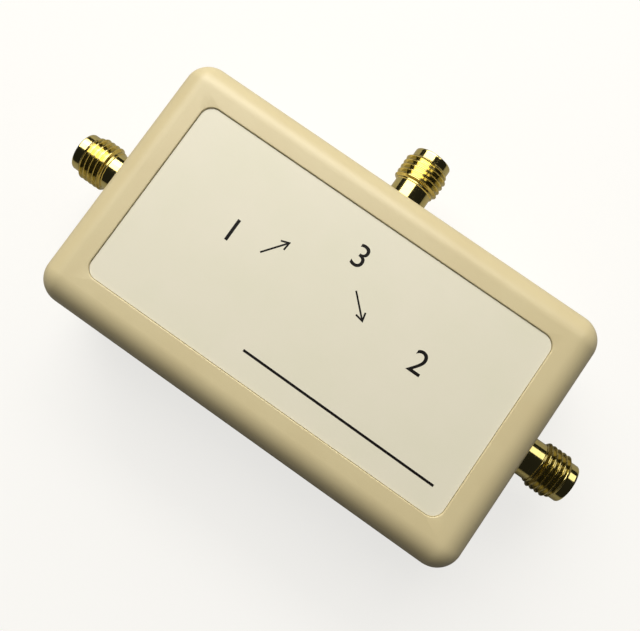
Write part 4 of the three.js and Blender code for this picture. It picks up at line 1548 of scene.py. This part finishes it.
def mound(kind):
    """Solder for one kind of joint, standing at the origin."""
    length, width, height, top_length, top_width = [size * MM for size in joint_sizes[kind]]
    rings = []
    for step in range(mound_steps + 1):
        spread = (1 - step / mound_steps) ** 2
        size_x = top_length + (length - top_length) * spread
        size_y = top_width + (width - top_width) * spread
        radius = min(size_x, size_y) * mound_corner_share
        rings.append(rounded_outline(size_x, size_y, radius, height * step / mound_steps, small_edge_steps))
    return solid(kind + "_solder", skinned(rings))


pads, mounds = [], []
for kind in joint_sizes:
    places = signal_joints[kind] + ground_joints[kind]
    pads += [joint_slab(kind, place, pad_margin, -pad_rise, pad_rise) for place in places]
    points = spots(kind + "_joints", [p.translation for p in places], [p.to_euler().z for p in places])
    mounds.append(shape_of(stood_on(points, mound(kind), (0, 0, 1), 0.0, 0, solder)))
finished(solid("board_pads", *pads), "case", "tinned_copper", [], solder)
finished(solid("solder_joints", *mounds), "case", "tinned_copper", [], solder)

# %% [markdown]
# ## Stitching vias
# Rows of plated holes tie the ground copper on the top to that on the underside, a few millimetres
# apart. Drawn lines give the rows, and a tree resamples each line by its length and sets a hole at every
# step.

# %% Build the via tree and the vias
via_inputs = {"Geometry": "Geometry", "Piece": "Object", "Spacing": "Float", "Material": "Material"}
via_tree, given = new_tree("vias_along_lines", via_inputs)
t = via_tree
rows = add(t, "GeometryNodeMeshToCurve", {"Mesh": given["Geometry"]})
stepped = add(t, "GeometryNodeResampleCurve", {"Curve": rows, "Length": given["Spacing"]}, mode="LENGTH")
piece = add(t, "GeometryNodeObjectInfo", {"Object": given["Piece"]}).outputs["Geometry"]
drilled = add(t, "GeometryNodeInstanceOnPoints", {"Points": stepped, "Instance": piece})
end_tree(t, drilled, given["Material"])

via_spacing = 2.6 * MM
via_radius = 0.32 * MM
via_bore = 0.14 * MM
via_rise = 0.02 * MM
via_sides = 20
via_profile = [
    (via_bore, -via_rise),
    (via_radius, -via_rise),
    (via_radius, via_rise),
    (via_bore + via_rise, via_rise),
    (via_bore, 0),
]
# Each row runs from one point to another, in mm.
via_rows = [
    ((-20.0, 3.1), (-13.0, 3.1)),
    ((-20.0, -3.1), (-13.0, -3.1)),
    ((-19.5, -13.2), (19.5, -13.2)),
    ((-12.5, 11.7), (-6.5, 11.7)),
    ((7.5, 11.7), (19.5, 11.7)),
    ((2.0, -8.6), (12.4, -8.6)),
    ((2.0, 0.0), (17.6, 0.0)),
]
via_height = board_top + copper_rise
points = [Vector((x * MM, y * MM, via_height)) for row in via_rows for x, y in row]
mesh = bpy.data.meshes.new("ground_vias")
mesh.from_pydata(points, [(2 * row, 2 * row + 1) for row in range(len(via_rows))], [])
vias = in_scene("ground_vias", mesh)
via_master = solid("via", turned(via_profile, via_sides, looped=True))
grown(vias, via_tree, {"Piece": via_master, "Spacing": via_spacing, "Material": solder})
bpy.data.objects.remove(via_master)
finished(vias, "case", "tinned_copper", [], solder)

# %% Gather the sizes of the frame and of the scene
boxes = {"cad_box": cad_box, "visual_box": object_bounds()}
